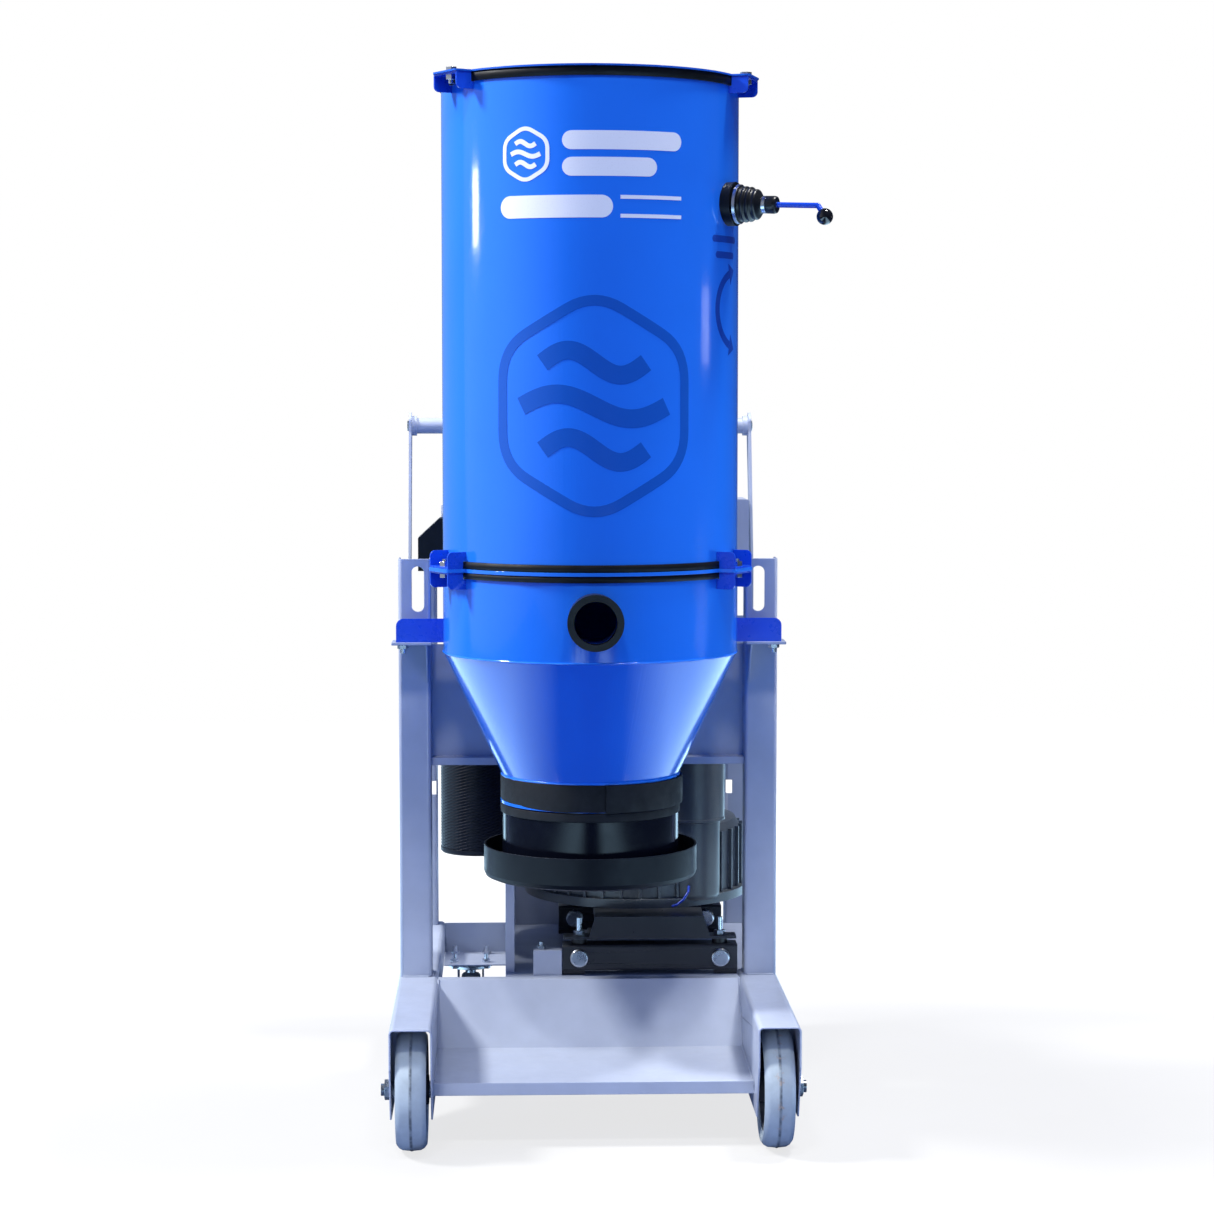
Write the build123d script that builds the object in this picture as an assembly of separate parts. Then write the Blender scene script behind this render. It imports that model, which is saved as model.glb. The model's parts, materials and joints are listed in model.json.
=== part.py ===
from build123d import *
import os
from math import cos, hypot, pi, radians, sin

# Dust collector on a wheeled frame.
# Millimetres. Origin on the floor under the drum axis, +Z up, +X to the operator's right when
# facing the inlet, +Y towards the handle, so the inlet points along -Y.

# ---- driving dimensions -------------------------------------------------------------------
DRUM_R = 250.0          # outside radius of the filter drum and of the hopper's straight part
SHEET = 2.0             # drum sheet
PLATE = 3.0             # frame sheet
GAP = 0.05              # radial running clearance of every pin in its bore
PROUD = 1.0             # how far a cutting tool runs past the face that it cuts

LID_TOP = 1763.0
DRUM_TOP = 1745.0       # upper rim of the filter drum
DRUM_BOTTOM = 963.0
JOINT_TOP = 951.0       # separator plate between the two drums
JOINT_BOTTOM = 945.0
HOPPER_TOP = 934.5
CONE_TOP = 803.0
CONE_BOTTOM = 593.0
OUTLET_R = 151.0        # outside radius of the cone's lower end and of the bag tube
BEAD_TOP = 551.0        # bead rolled round the spout
BEAD_BOTTOM = 546.0
SPOUT_BOTTOM = 540.0
BAG_TUBE_BOTTOM = 418.0

LID_AZIMUTHS = (-17.3, 94.0, 211.0)         # clamps that hold the lid
JOINT_AZIMUTHS = (-26.4, 90.0, 204.7)       # clamps that join the two drums
CLAMP_BOLT_R = 268.0    # bolt circle radius of the clamps
CLAMP_REACH = 281.0     # outer edge of the clamp lugs
CLAMP_HALF = 37.5       # half the width of one clamp

FILTER_BOTTOM = JOINT_TOP + 3
FILTER_HEIGHT = 540.0

INLET_Z = 875.0
INLET_BORE_R = 34.5
SHAKER_AZIMUTH = -25.5
SHAKER_Z = 1551.0
PIVOT_R = 256.0         # distance of the lever's pivot from the drum axis
LEVER_IN = 150.0        # pivot to the ball inside the drum
LEVER_OUT = 150.0       # pivot to the bend at the grip end
LEVER_R = 4.5
DROOP = 2.4             # degrees by which the lever's outer arm hangs at rest
BOOT_START = PIVOT_R + 10.0
BOOT_NECK = BOOT_START + 45.0
BOOT_WALL = 2.2
# Bellows outline: (distance from the boot's start, radius).
BOOT_FOLDS = ((0, 31), (7, 31), (9, 25), (17, 29.5), (21, 27), (25, 28.5), (31, 25), (36, 25), (45, 13))
SUCTION_AZIMUTH = 54.2
SUCTION_Z = 1040.0
SUCTION_R = 325.0       # distance of the hose's upright run from the drum axis
HOSE_R = 46.0
HOSE_WALL = 4.0
HOSE_BEND = 58.0

RAIL_IN = 264.0         # inner face of the side rails
RAIL_OUT = 334.0
RAIL_TOP = 217.0
RAIL_FRONT = -300.0
RAIL_REAR = 640.0
RAIL_DEEP = 60.0        # lower edge of the rails beside the front wheels
RAIL_SHALLOW = 160.0    # lower edge of the rails behind them
COLUMN_IN = 275.0
COLUMN_OUT = 331.0
COLUMN_FRONT = 115.0
COLUMN_TOP = 953.0
COLUMN_DEPTH = 50.0
SHELF_TOP = 812.0       # seat of the drum's ears on the columns
EAR_BOLT = (322.0, 88.0)    # (x, y) of the bolt through the ear and the column's shelf
PANEL_BOTTOM = 599.0
PANEL_TOP = 800.0
POST_IN = 277.0
POST_OUT = 326.0
POST_FRONT = 600.0
POST_TOP = 896.0
BEND_R = 6.0

WHEEL_R = 100.0
WHEEL_WIDTH = 50.0
WHEEL_X = 299.0
WHEEL_Y = -220.0
AXLE_R = 10.0
CASTER_X = 214.0
CASTER_Y = 560.0
CASTER_R = 62.5
CASTER_TOP = 157.0
CASTER_TRAIL = 38.0
CASTER_BOLT_X = 30.0
CASTER_BOLT_Y = 40.0

BLOWER_X = 95.0
BLOWER_Y = 400.0
BLOWER_R = 192.0
BLOWER_BASE = 321.0
BLOWER_TOP = 470.0
MOTOR_TOP = 700.0
SHAFT_R = 12.0
BEARING_R = 15.0
SILENCER_X = SUCTION_R * cos(radians(SUCTION_AZIMUTH))
SILENCER_Y = SUCTION_R * sin(radians(SUCTION_AZIMUTH))
SILENCER_R = 60.0
SILENCER_BASE = 471.0
SILENCER_TOP = 640.0
EXHAUST_X = -193.0
EXHAUST_Y = 264.0
EXHAUST_R = 68.0
EXHAUST_BOTTOM = 417.0
EXHAUST_TOP = 640.0
EXHAUST_PORT_Z = 446.0
EXHAUST_PORT_R = 22.0
CHANNEL_LEFT = -46.0    # ends of the channels that carry the blower
CHANNEL_RIGHT = 263.0
CHANNEL_BOTTOM = 225.0
CHANNEL_TOP = 271.0
CHANNEL_YS = (118.0, 496.0)
CHANNEL_DEPTH = 40.0
BUFFER_TOP = 281.0
FOOT_TOP = 285.0        # upper face of the feet's low wings
STUD_IN = 22.0          # studs stand this far behind the channels' front faces
STUD_HOLE = 5.2
PLUG_Z = 248.0          # domed plugs in the channels' faces
STUD_LEFT = -16.0
BRACKET_BOLT = (-83.0, 134.0)    # (x, y) of the bolts in the bracket at the front channel's left end
BRACKET_TOP = 262.0
STUD_RIGHT = 233.0

BOX_LEFT = -262.0
BOX_RIGHT = 315.0
BOX_FRONT = 520.0
BOX_REAR = 640.0
BOX_BOTTOM = 900.0
BOX_TOP = 1041.0
BOX_SHEET = 2.0
DOOR_Y0 = BOX_REAR + 0.5
DOOR_Y1 = DOOR_Y0 + 3.0
HINGE_X = BOX_LEFT - 2.0
HINGE_Y = BOX_REAR + 8.0
HINGE_ZS = (925.0, 1000.0)
KNOB_PLACE = (150.0, 985.0)                     # (x, z) of the isolator on the door
STOP_PLACE = (40.0, 985.0)                      # (x, z) of the stop button on the door
HANDLE_Y = 690.0
HANDLE_Z = 1178.0
HANDLE_R = 15.0
ARM = 5.0               # handle arm plate
ARM_BOLTS = ((622.0, 730.0), (622.0, 790.0))    # (y, z) of the bolts through each arm
ARM_BOLT_HOLE = 5.3


# ---- helpers --------------------------------------------------------------------------------
def block(x0, x1, y0, y1, z0, z1):
    """Box between two corners."""
    return Pos((x0 + x1) / 2, (y0 + y1) / 2, (z0 + z1) / 2) * Box(x1 - x0, y1 - y0, z1 - z0)


def rod(radius, start, end):
    """Round bar from one point to another."""
    line = Vector(*end) - Vector(*start)
    plane = Plane(origin=Vector(*start), z_dir=line)
    return extrude(plane * Circle(radius), amount=line.length)


def ring(outer, inner, z0, z1, x=0.0, y=0.0):
    """Upright tube."""
    tube = Pos(x, y, (z0 + z1) / 2) * Cylinder(outer, z1 - z0)
    return tube - Pos(x, y, (z0 + z1) / 2) * Cylinder(inner, z1 - z0 + 2 * PROUD)


def spin(points, x=0.0, y=0.0):
    """Solid of revolution about the upright axis at x, y; points are (radius, z)."""
    outline = make_face(Plane.XZ * Polyline(*points, close=True))
    return Pos(x, y, 0) * revolve(outline, Axis.Z)


def slab_yz(points, x0, x1, round_at=(), radius=0.0):
    """Plate lying in the YZ plane; points are (y, z); the listed corners are rounded."""
    face = Plane.YZ.offset(x0) * make_face(Polyline(*points, close=True))
    if round_at:
        picked = [corner for corner in face.vertices()
                  if any(hypot(corner.Y - y, corner.Z - z) < 0.01 for y, z in round_at)]
        face = fillet(picked, radius)
    return extrude(face, amount=x1 - x0, dir=(1, 0, 0))


def slab_xz(points, y0, y1, round_at=(), radius=0.0):
    """Plate lying in the XZ plane; points are (x, z); the listed corners are rounded."""
    face = Plane.XZ.offset(-y0) * make_face(Polyline(*points, close=True))
    if round_at:
        picked = [corner for corner in face.vertices()
                  if any(hypot(corner.X - x, corner.Z - z) < 0.01 for x, z in round_at)]
        face = fillet(picked, radius)
    return extrude(face, amount=y1 - y0, dir=(0, 1, 0))


def turned(shape, azimuth):
    """The shape turned about the drum axis, from +X to the given azimuth."""
    return Rot(0, 0, azimuth) * shape


def mirrored(shape):
    """The same piece on the other side of the machine."""
    return mirror(shape, Plane.YZ)


def hexagon(across, thickness):
    """Hexagonal prism on +Z, from 0 to thickness."""
    return extrude(RegularPolygon(across / 2, 6, major_radius=False), amount=thickness)


def bolt(size, grip, tail=0.0):
    """Hex bolt on +Z: head under 0, shank through the grip, nut above it, then the tail."""
    head = Pos(0, 0, -0.65 * size) * hexagon(1.7 * size, 0.65 * size)
    shank = Pos(0, 0, (grip + 0.8 * size + tail) / 2) * Cylinder(size / 2, grip + 0.8 * size + tail)
    nut = Pos(0, 0, grip) * hexagon(1.7 * size, 0.8 * size)
    return head + shank + nut


def drill(radius, start, end, shape):
    """The shape with a round hole through it."""
    return shape - rod(radius, start, end)


# ---- drum, lid and clamps ---------------------------------------------------------------------
def tab(z0, z1):
    """Flat tab of the lid or separator plate over one clamp, on +X."""
    plate = block(200, CLAMP_REACH + 2, -CLAMP_HALF - 2, CLAMP_HALF + 2, z0, z1)
    plate = fillet(plate.edges().filter_by(Axis.Z).group_by(Axis.X)[-1], 8)
    return drill(5.5, (CLAMP_BOLT_R, 0, z0 - 1), (CLAMP_BOLT_R, 0, z1 + 1), plate)


def make_lid():
    disc = spin([(0, LID_TOP - 3), (256, LID_TOP - 3), (256, LID_TOP), (0, LID_TOP)])
    return disc + [turned(tab(LID_TOP - 3, LID_TOP), azimuth) for azimuth in LID_AZIMUTHS]


def make_drum_gaskets():
    top = ring(253, 243, DRUM_TOP, LID_TOP - 3)
    upper = ring(254, 243, JOINT_TOP, DRUM_BOTTOM)
    lower = ring(254, 243, HOPPER_TOP, JOINT_BOTTOM)
    return Compound([top, upper, lower])


def make_filter_drum():
    drum = ring(DRUM_R, DRUM_R - SHEET, DRUM_BOTTOM, DRUM_TOP)
    spigot_end = SUCTION_R - HOSE_BEND - 1
    spigot = rod(HOSE_R - HOSE_WALL - 0.2, (DRUM_R - 4, 0, SUCTION_Z), (spigot_end, 0, SUCTION_Z))
    spigot_bore = rod(HOSE_R - HOSE_WALL - 2.2, (DRUM_R - 20, 0, SUCTION_Z), (spigot_end + 1, 0, SUCTION_Z))
    drum += turned(spigot, SUCTION_AZIMUTH)
    drum -= turned(spigot_bore, SUCTION_AZIMUTH)
    port = rod(22, (DRUM_R - 20, 0, SHAKER_Z), (DRUM_R + 20, 0, SHAKER_Z))
    return drum - turned(port, SHAKER_AZIMUTH)


def make_separator_plate():
    disc = ring(255, 205, JOINT_BOTTOM, JOINT_BOTTOM + 3)
    edge = ring(255, 252, JOINT_BOTTOM, JOINT_TOP)
    seat = ring(253, 243, JOINT_BOTTOM, JOINT_TOP)
    tabs = [turned(tab(JOINT_BOTTOM, JOINT_TOP) - Pos(0, 0, JOINT_BOTTOM) * Cylinder(243, 20), azimuth)
            for azimuth in JOINT_AZIMUTHS]
    return disc + edge + seat + tabs


def spout_ears():
    """Two ears in the spout that carry the discharge flap."""
    ears = block(38, 42, 122, 148, 543, 572) + block(-42, -38, 122, 148, 543, 572)
    ears &= Pos(0, 0, 560) * Cylinder(147, 60)
    return drill(4 + GAP, (-50, 128, 549), (50, 128, 549), ears)


def make_hopper():
    inner = OUTLET_R - 5
    wall = spin([
        (DRUM_R, HOPPER_TOP), (DRUM_R, CONE_TOP), (OUTLET_R, CONE_BOTTOM), (148, CONE_BOTTOM),
        (148, BEAD_TOP), (153.5, BEAD_TOP), (153.5, BEAD_BOTTOM), (148, BEAD_BOTTOM), (148, SPOUT_BOTTOM),
        (inner, SPOUT_BOTTOM), (inner, CONE_BOTTOM + 1), (DRUM_R - SHEET, CONE_TOP + 1),
        (DRUM_R - SHEET, HOPPER_TOP),
    ])
    stub = rod(38, (0, -DRUM_R + 6, INLET_Z), (0, -302, INLET_Z))
    bore = rod(36, (0, -DRUM_R + 30, INLET_Z), (0, -303, INLET_Z))
    return wall + stub - bore + spout_ears()


def make_inlet_collar():
    front = -322
    sleeve = rod(43, (0, -DRUM_R - 1, INLET_Z), (0, front, INLET_Z))
    sleeve -= rod(38.05, (0, -DRUM_R + 20, INLET_Z), (0, -302, INLET_Z))
    sleeve = drill(INLET_BORE_R, (0, -300, INLET_Z), (0, front - 1, INLET_Z), sleeve)
    lip = rod(45.5, (0, front + 7, INLET_Z), (0, front, INLET_Z))
    lip = drill(INLET_BORE_R, (0, front + 8, INLET_Z), (0, front - 1, INLET_Z), lip)
    return (sleeve + lip) - Pos(0, 0, INLET_Z) * Cylinder(DRUM_R + 0.1, 120)


def lug(direction, seat_z):
    """One folded clamp bracket on +X; its ears rise (1) or hang (-1) from the seat."""
    reach = CLAMP_REACH - 1
    ear_height = 28.0
    base = block(230, reach, -CLAMP_HALF, CLAMP_HALF, 0, PLATE)
    base = drill(5.5, (CLAMP_BOLT_R, 0, -1), (CLAMP_BOLT_R, 0, PLATE + 1), base)
    ear = slab_xz([(230, 0), (reach, 0), (reach, ear_height), (230, ear_height)],
                  CLAMP_HALF - PLATE, CLAMP_HALF, [(reach, ear_height)], 9)
    bracket = base + ear + mirror(ear, Plane.XZ)
    if direction < 0:
        bracket = mirror(bracket, Plane.XY)
    bracket = Pos(0, 0, seat_z) * bracket
    drum_and_gaskets = Pos(0, 0, seat_z) * Cylinder(DRUM_R, 200)
    drum_and_gaskets += ring(255, 240, HOPPER_TOP - 1, DRUM_BOTTOM + 1)
    drum_and_gaskets += ring(255, 240, DRUM_TOP - 1, LID_TOP)
    return bracket - drum_and_gaskets


def make_clamp_lugs():
    lid_lugs = [turned(lug(-1, LID_TOP - 3), azimuth) for azimuth in LID_AZIMUTHS]
    joint_lugs = [turned(lug(direction, seat), azimuth) for azimuth in JOINT_AZIMUTHS
                  for direction, seat in ((1, JOINT_TOP), (-1, JOINT_BOTTOM))]
    return Compound(lid_lugs + joint_lugs)


def make_clamp_bolts():
    joint_grip = JOINT_TOP - JOINT_BOTTOM + 2 * PLATE
    lid_bolt = Pos(CLAMP_BOLT_R, 0, LID_TOP) * Rot(180, 0, 0) * bolt(10, 2 * PLATE, 6)
    joint_bolt = Pos(CLAMP_BOLT_R, 0, JOINT_BOTTOM - PLATE) * bolt(10, joint_grip, 4)
    return Compound([turned(lid_bolt, azimuth) for azimuth in LID_AZIMUTHS]
                    + [turned(joint_bolt, azimuth) for azimuth in JOINT_AZIMUTHS])


# ---- filter and shaker --------------------------------------------------------------------------
def star(outer, inner, pleats):
    """Star outline of the pleated filter."""
    points = []
    for step in range(2 * pleats):
        angle = pi * step / pleats
        radius = outer if step % 2 == 0 else inner
        points.append((radius * cos(angle), radius * sin(angle)))
    return make_face(Polyline(*points, close=True))


def make_filter_bag():
    pleats = 16
    felt = 4.0
    body = Pos(0, 0, FILTER_BOTTOM) * extrude(star(218, 150, pleats), amount=FILTER_HEIGHT)
    hollow = extrude(star(206, 140, pleats), amount=FILTER_HEIGHT - felt)
    return body - Pos(0, 0, FILTER_BOTTOM - PROUD) * hollow


def make_filter_hanger():
    """Cap on the filter, a drop rod and a bar whose eye holds the lever's inner ball."""
    top = FILTER_BOTTOM + FILTER_HEIGHT
    reach = PIVOT_R - LEVER_IN
    cap = spin([(0, top), (120, top), (120, top + 3), (0, top + 3)])
    drop = rod(5, (0, 0, top), (0, 0, SHAKER_Z + 20))
    bar = block(-8, reach, -8, 8, SHAKER_Z + 14, SHAKER_Z + 20)
    end = block(reach - 2, reach + 2, -12, 12, SHAKER_Z - 14, SHAKER_Z + 20)
    end = drill(6.5, (reach - 5, 0, SHAKER_Z), (reach + 5, 0, SHAKER_Z), end)
    return turned(cap + drop + bar + end, SHAKER_AZIMUTH)


def make_shaker_flange():
    boss = rod(36, (DRUM_R - 8, 0, SHAKER_Z), (PIVOT_R + 8, 0, SHAKER_Z))
    boss -= rod(20, (DRUM_R - 20, 0, SHAKER_Z), (PIVOT_R + 20, 0, SHAKER_Z))
    boss -= Pos(0, 0, SHAKER_Z) * Cylinder(DRUM_R, 120)
    boss -= rod(3 + GAP, (PIVOT_R, -30, SHAKER_Z), (PIVOT_R, 30, SHAKER_Z))
    return turned(boss, SHAKER_AZIMUTH)


def drooped(shape):
    """The shape tilted down with the lever's outer arm, about the pivot."""
    return Pos(PIVOT_R, 0, SHAKER_Z) * Rot(0, DROOP, 0) * Pos(-PIVOT_R, 0, -SHAKER_Z) * shape


def grip_stub():
    """Bent end of the lever, which the knob sits on."""
    tip = PIVOT_R + LEVER_OUT
    return rod(LEVER_R, (tip, 0, SHAKER_Z), (tip + 8.5, -4, SHAKER_Z - 10))


def make_shaker_lever():
    """Cranked rod on its cross-pin: a ball end inside the drum, a bent grip end outside."""
    tip = PIVOT_R + LEVER_OUT
    inner_arm = rod(LEVER_R, (PIVOT_R - LEVER_IN, 0, SHAKER_Z), (PIVOT_R, 0, SHAKER_Z))
    ball = Pos(PIVOT_R - LEVER_IN, 0, SHAKER_Z) * Sphere(6)
    pin = rod(3, (PIVOT_R, -28, SHAKER_Z), (PIVOT_R, 28, SHAKER_Z))
    hub = Pos(PIVOT_R, 0, SHAKER_Z) * Sphere(9)
    outer_arm = rod(LEVER_R, (PIVOT_R, 0, SHAKER_Z), (tip, 0, SHAKER_Z))
    outer_arm += Pos(tip, 0, SHAKER_Z) * Sphere(LEVER_R) + grip_stub()
    return turned(inner_arm + ball + pin + hub + drooped(outer_arm), SHAKER_AZIMUTH)


def make_lever_knob():
    knob = Pos(PIVOT_R + LEVER_OUT + 15, -7, SHAKER_Z - 18) * Sphere(13.5)
    return turned(drooped(knob - grip_stub()), SHAKER_AZIMUTH)


def laid_on_lever(points):
    """Solid of revolution about the lever's outer arm; points are (distance from the drum, radius)."""
    upright = spin([(radius, distance) for distance, radius in points])
    laid = Pos(0, 0, SHAKER_Z) * Rot(0, 90, 0) * upright
    return turned(drooped(laid), SHAKER_AZIMUTH)


def make_shaker_boot():
    """Rubber bellows over the lever's pivot, with a thick collar gripping the rod."""
    folds = [(BOOT_START + along, radius) for along, radius in BOOT_FOLDS]
    inside = [(distance, radius - BOOT_WALL) for distance, radius in reversed(folds)]
    bore = LEVER_R + 0.2
    collar = [(BOOT_NECK + 7, 13), (BOOT_NECK + 7, 14.5), (BOOT_NECK + 25, 14.5),
              (BOOT_NECK + 25, bore), (BOOT_NECK + 6, bore)]
    return laid_on_lever(folds + collar + inside)


def boot_clamp(distance, radius, width):
    """Band clamp round the boot."""
    end = distance + width
    return laid_on_lever([(distance, radius), (distance, radius + 1.4), (end, radius + 1.4), (end, radius)])


def make_boot_base_clamp():
    return boot_clamp(BOOT_START + 1, 31.05, 5)


def make_boot_neck_clamp():
    return boot_clamp(BOOT_NECK + 0.5, 13.05, 6)


# ---- outlet -----------------------------------------------------------------------------------
def make_outlet_strap():
    """Rubber belt wound twice round the outlet, above and below the spout's bead."""
    upper = ring(153, 148, BEAD_TOP + 0.5, CONE_BOTTOM - 0.5)
    lower = ring(153.5, 151, 529, BEAD_BOTTOM - 1.5)
    return Compound([upper, lower])


def make_bag_tube():
    return ring(OUTLET_R, OUTLET_R - 3, BAG_TUBE_BOTTOM, BEAD_BOTTOM - 1)


def make_bag_tray():
    outer = 182.0
    top = 473.0
    floor = BAG_TUBE_BOTTOM
    cup = spin([(OUTLET_R, floor), (outer - 10, floor), (outer - 3, floor + 3), (outer, floor + 10),
                (outer, top), (outer - 3, top), (outer - 3, floor + 11), (outer - 11, floor + 3),
                (OUTLET_R, floor + 3)])
    return cup


def make_discharge_flap():
    """Hinged disc that closes the spout while the blower runs."""
    disc = Pos(0, 0, 549) * Cylinder(142, 4)
    disc &= block(-150, 150, -150, 116, 540, 560)
    neck = block(-30, 30, 112, 128, 547, 551)
    knuckle = rod(4, (-44, 128, 549), (44, 128, 549))
    return disc + neck + knuckle


# ---- support ears -------------------------------------------------------------------------------
def ear_right():
    """Folded ear that hangs the drum on the right column's shelf."""
    face_top = SHELF_TOP + 41
    face = slab_xz([(225, SHELF_TOP), (333, SHELF_TOP), (333, face_top), (225, face_top)], 62, 65,
                   [(333, face_top)], 13)
    sole = block(225, 333, 62, 112, SHELF_TOP, SHELF_TOP + PLATE)
    saddle = block(200, 300, 40, 112, SHELF_TOP, face_top + 3) & ring(254, DRUM_R, 800, 860)
    sole = drill(5.5, (*EAR_BOLT, SHELF_TOP - 1), (*EAR_BOLT, SHELF_TOP + 4), sole)
    return (face + sole + saddle) - Pos(0, 0, 830) * Cylinder(DRUM_R, 120)


def make_support_ears():
    return Compound([ear_right(), mirrored(ear_right())])


# ---- frame ------------------------------------------------------------------------------------
def folded_channel(x0, x1, y0, y1, z0, z1, open_rear=True):
    """Upright channel of folded sheet: a web across X and two flanges along Y."""
    outer = block(x0, x1, y0, y1, z0, z1)
    web_y = y0 if open_rear else y1
    near_web = [edge for edge in outer.edges().filter_by(Axis.Z) if abs(edge.center().Y - web_y) < 0.1]
    outer = fillet(near_web, BEND_R)
    if open_rear:
        hollow = block(x0 + PLATE, x1 - PLATE, y0 + PLATE, y1 + PROUD, z0 - PROUD, z1 + PROUD)
    else:
        hollow = block(x0 + PLATE, x1 - PLATE, y0 - PROUD, y1 - PLATE, z0 - PROUD, z1 + PROUD)
    near_web = [edge for edge in hollow.edges().filter_by(Axis.Z)
                if abs(edge.center().Y - web_y) < PLATE + 0.1]
    return outer - fillet(near_web, BEND_R - PLATE)


def column_right():
    column = folded_channel(COLUMN_IN, COLUMN_OUT, COLUMN_FRONT, COLUMN_FRONT + COLUMN_DEPTH,
                            RAIL_TOP, COLUMN_TOP)
    slot_x, slot_low, slot_high = 297.0, 872.0, 929.0
    slot = block(slot_x - 11, slot_x + 11, COLUMN_FRONT - 5, COLUMN_FRONT + 5, slot_low, slot_high)
    for end_z in (slot_low, slot_high):
        slot += rod(11, (slot_x, COLUMN_FRONT - 5, end_z), (slot_x, COLUMN_FRONT + 5, end_z))
    shelf = block(272, 341, 58, COLUMN_FRONT, SHELF_TOP - 5, SHELF_TOP)
    shelf = drill(5.5, (*EAR_BOLT, SHELF_TOP - 6), (*EAR_BOLT, SHELF_TOP + 1), shelf)
    gusset = slab_yz([(58, SHELF_TOP - 4), (COLUMN_FRONT, SHELF_TOP - 4), (COLUMN_FRONT, 735)], 279, 282)
    return column - slot + shelf + gusset


def make_front_columns():
    return Compound([column_right(), mirrored(column_right())])


def cross_panel():
    """Sheet between the columns, cut out round the cone, with a folded lower edge."""
    rear = COLUMN_FRONT + COLUMN_DEPTH
    panel = block(-COLUMN_IN, COLUMN_IN, rear - PLATE, rear, PANEL_BOTTOM, PANEL_TOP)
    flange = block(-COLUMN_IN, COLUMN_IN, rear - 30, rear, PANEL_BOTTOM, PANEL_BOTTOM + PLATE)
    lip = block(-COLUMN_IN, COLUMN_IN, rear - 30, rear - 30 + PLATE, PANEL_BOTTOM - 10, PANEL_BOTTOM + PLATE)
    room = 8.0
    cone = spin([(0, 560), (OUTLET_R + room, 560), (OUTLET_R + room, CONE_BOTTOM),
                 (DRUM_R + room, CONE_TOP), (0, CONE_TOP)])
    return panel + flange + lip - cone


def rear_cross_member():
    """Angle between the rear ends of the rails, which carries the casters."""
    wall = block(-RAIL_IN, RAIL_IN, 620, 620 + PLATE, CASTER_TOP, RAIL_TOP)
    shelf = block(-RAIL_IN, RAIL_IN, 500, 620 + PLATE, CASTER_TOP, CASTER_TOP + PLATE)
    member = wall + shelf
    for x, y in caster_bolt_places():
        member = drill(4.5, (x, y, 150), (x, y, 170), member)
    return member


def make_cross_members():
    box_carrier = block(-300, 300, POST_FRONT, RAIL_REAR, POST_TOP, BOX_BOTTOM)
    return Compound([cross_panel(), rear_cross_member(), box_carrier])


def side_rail_right():
    """Channel open downwards: deep cheeks beside the wheel, shallow ones behind it."""
    outer = block(RAIL_IN, RAIL_OUT, RAIL_FRONT, RAIL_REAR, RAIL_DEEP, RAIL_TOP)
    outer = fillet(outer.edges().filter_by(Axis.Y).group_by(Axis.Z)[-1], BEND_R + 2)
    hollow = block(RAIL_IN + PLATE, RAIL_OUT - PLATE, RAIL_FRONT - PROUD, RAIL_REAR + PROUD,
                   RAIL_DEEP - PROUD, RAIL_TOP - PLATE)
    hollow = fillet(hollow.edges().filter_by(Axis.Y).group_by(Axis.Z)[-1], BEND_R + 2 - PLATE)
    below = slab_yz([(-40, RAIL_DEEP - 2), (-40, RAIL_DEEP), (60, RAIL_SHALLOW),
                     (RAIL_REAR + 2, RAIL_SHALLOW), (RAIL_REAR + 2, RAIL_DEEP - 2)],
                    RAIL_IN - 5, RAIL_OUT + 5, [(60, RAIL_SHALLOW)], 20)
    nose = slab_yz([(RAIL_FRONT - 2, RAIL_DEEP - 2), (RAIL_FRONT - 2, 150), (RAIL_FRONT, 150),
                    (-262, RAIL_DEEP), (-262, RAIL_DEEP - 2)], RAIL_IN - 5, RAIL_OUT + 5)
    rail = outer - hollow - below - nose
    return drill(AXLE_R + 0.2, (RAIL_IN - 5, WHEEL_Y, WHEEL_R), (RAIL_OUT + 5, WHEEL_Y, WHEEL_R), rail)


def make_side_rails():
    return Compound([side_rail_right(), mirrored(side_rail_right())])


def make_front_tray():
    """Folded apron between the rails: sloping back, floor and a turned-down front lip."""
    top_y, bend_y, lip_y = 88.0, 10.0, -210.0
    bend_z, lip_z, lip_low = 114.0, 107.0, 86.0
    side = [(top_y + 25, RAIL_TOP), (top_y, RAIL_TOP), (bend_y, bend_z), (lip_y, lip_z),
            (lip_y, lip_low), (lip_y + PLATE, lip_low), (lip_y + PLATE, lip_z - PLATE),
            (bend_y + 1.2, bend_z - PLATE), (top_y + 1.6, RAIL_TOP - PLATE), (top_y + 25, RAIL_TOP - PLATE)]
    return slab_yz(side, -RAIL_IN, RAIL_IN)


def post_right():
    """Channel at the rear, notched down to its inner half above the handle's arm bolts."""
    post = folded_channel(POST_IN, POST_OUT, POST_FRONT, RAIL_REAR, RAIL_TOP, POST_TOP)
    post -= block(POST_IN + 23, POST_OUT + 1, POST_FRONT - 1, RAIL_REAR + 1, 815, POST_TOP + 1)
    post -= block(POST_IN - 2, POST_IN + 14, POST_FRONT - 2, POST_FRONT + 20, 471, 497)
    for y, z in ARM_BOLTS:
        post = drill(ARM_BOLT_HOLE, (POST_OUT - 6, y, z), (POST_OUT + 6, y, z), post)
    return post


def make_rear_posts():
    return Compound([post_right(), mirrored(post_right())])


# ---- front wheels -------------------------------------------------------------------------------
def wheel_part(points):
    """Part of a wheel turned from a half-outline (radius, offset), laid on its axle."""
    return Pos(WHEEL_X, WHEEL_Y, WHEEL_R) * Rot(0, 90, 0) * spin(points)


def front_tyre_right():
    half = WHEEL_WIDTH / 2
    near = [(72, half - 3), (82, half), (91, half - 1), (97, half - 5), (WHEEL_R - 0.5, half - 12)]
    far = [(radius, -offset) for radius, offset in near]
    return wheel_part(far + [(WHEEL_R, 0)] + near[::-1])


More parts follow.
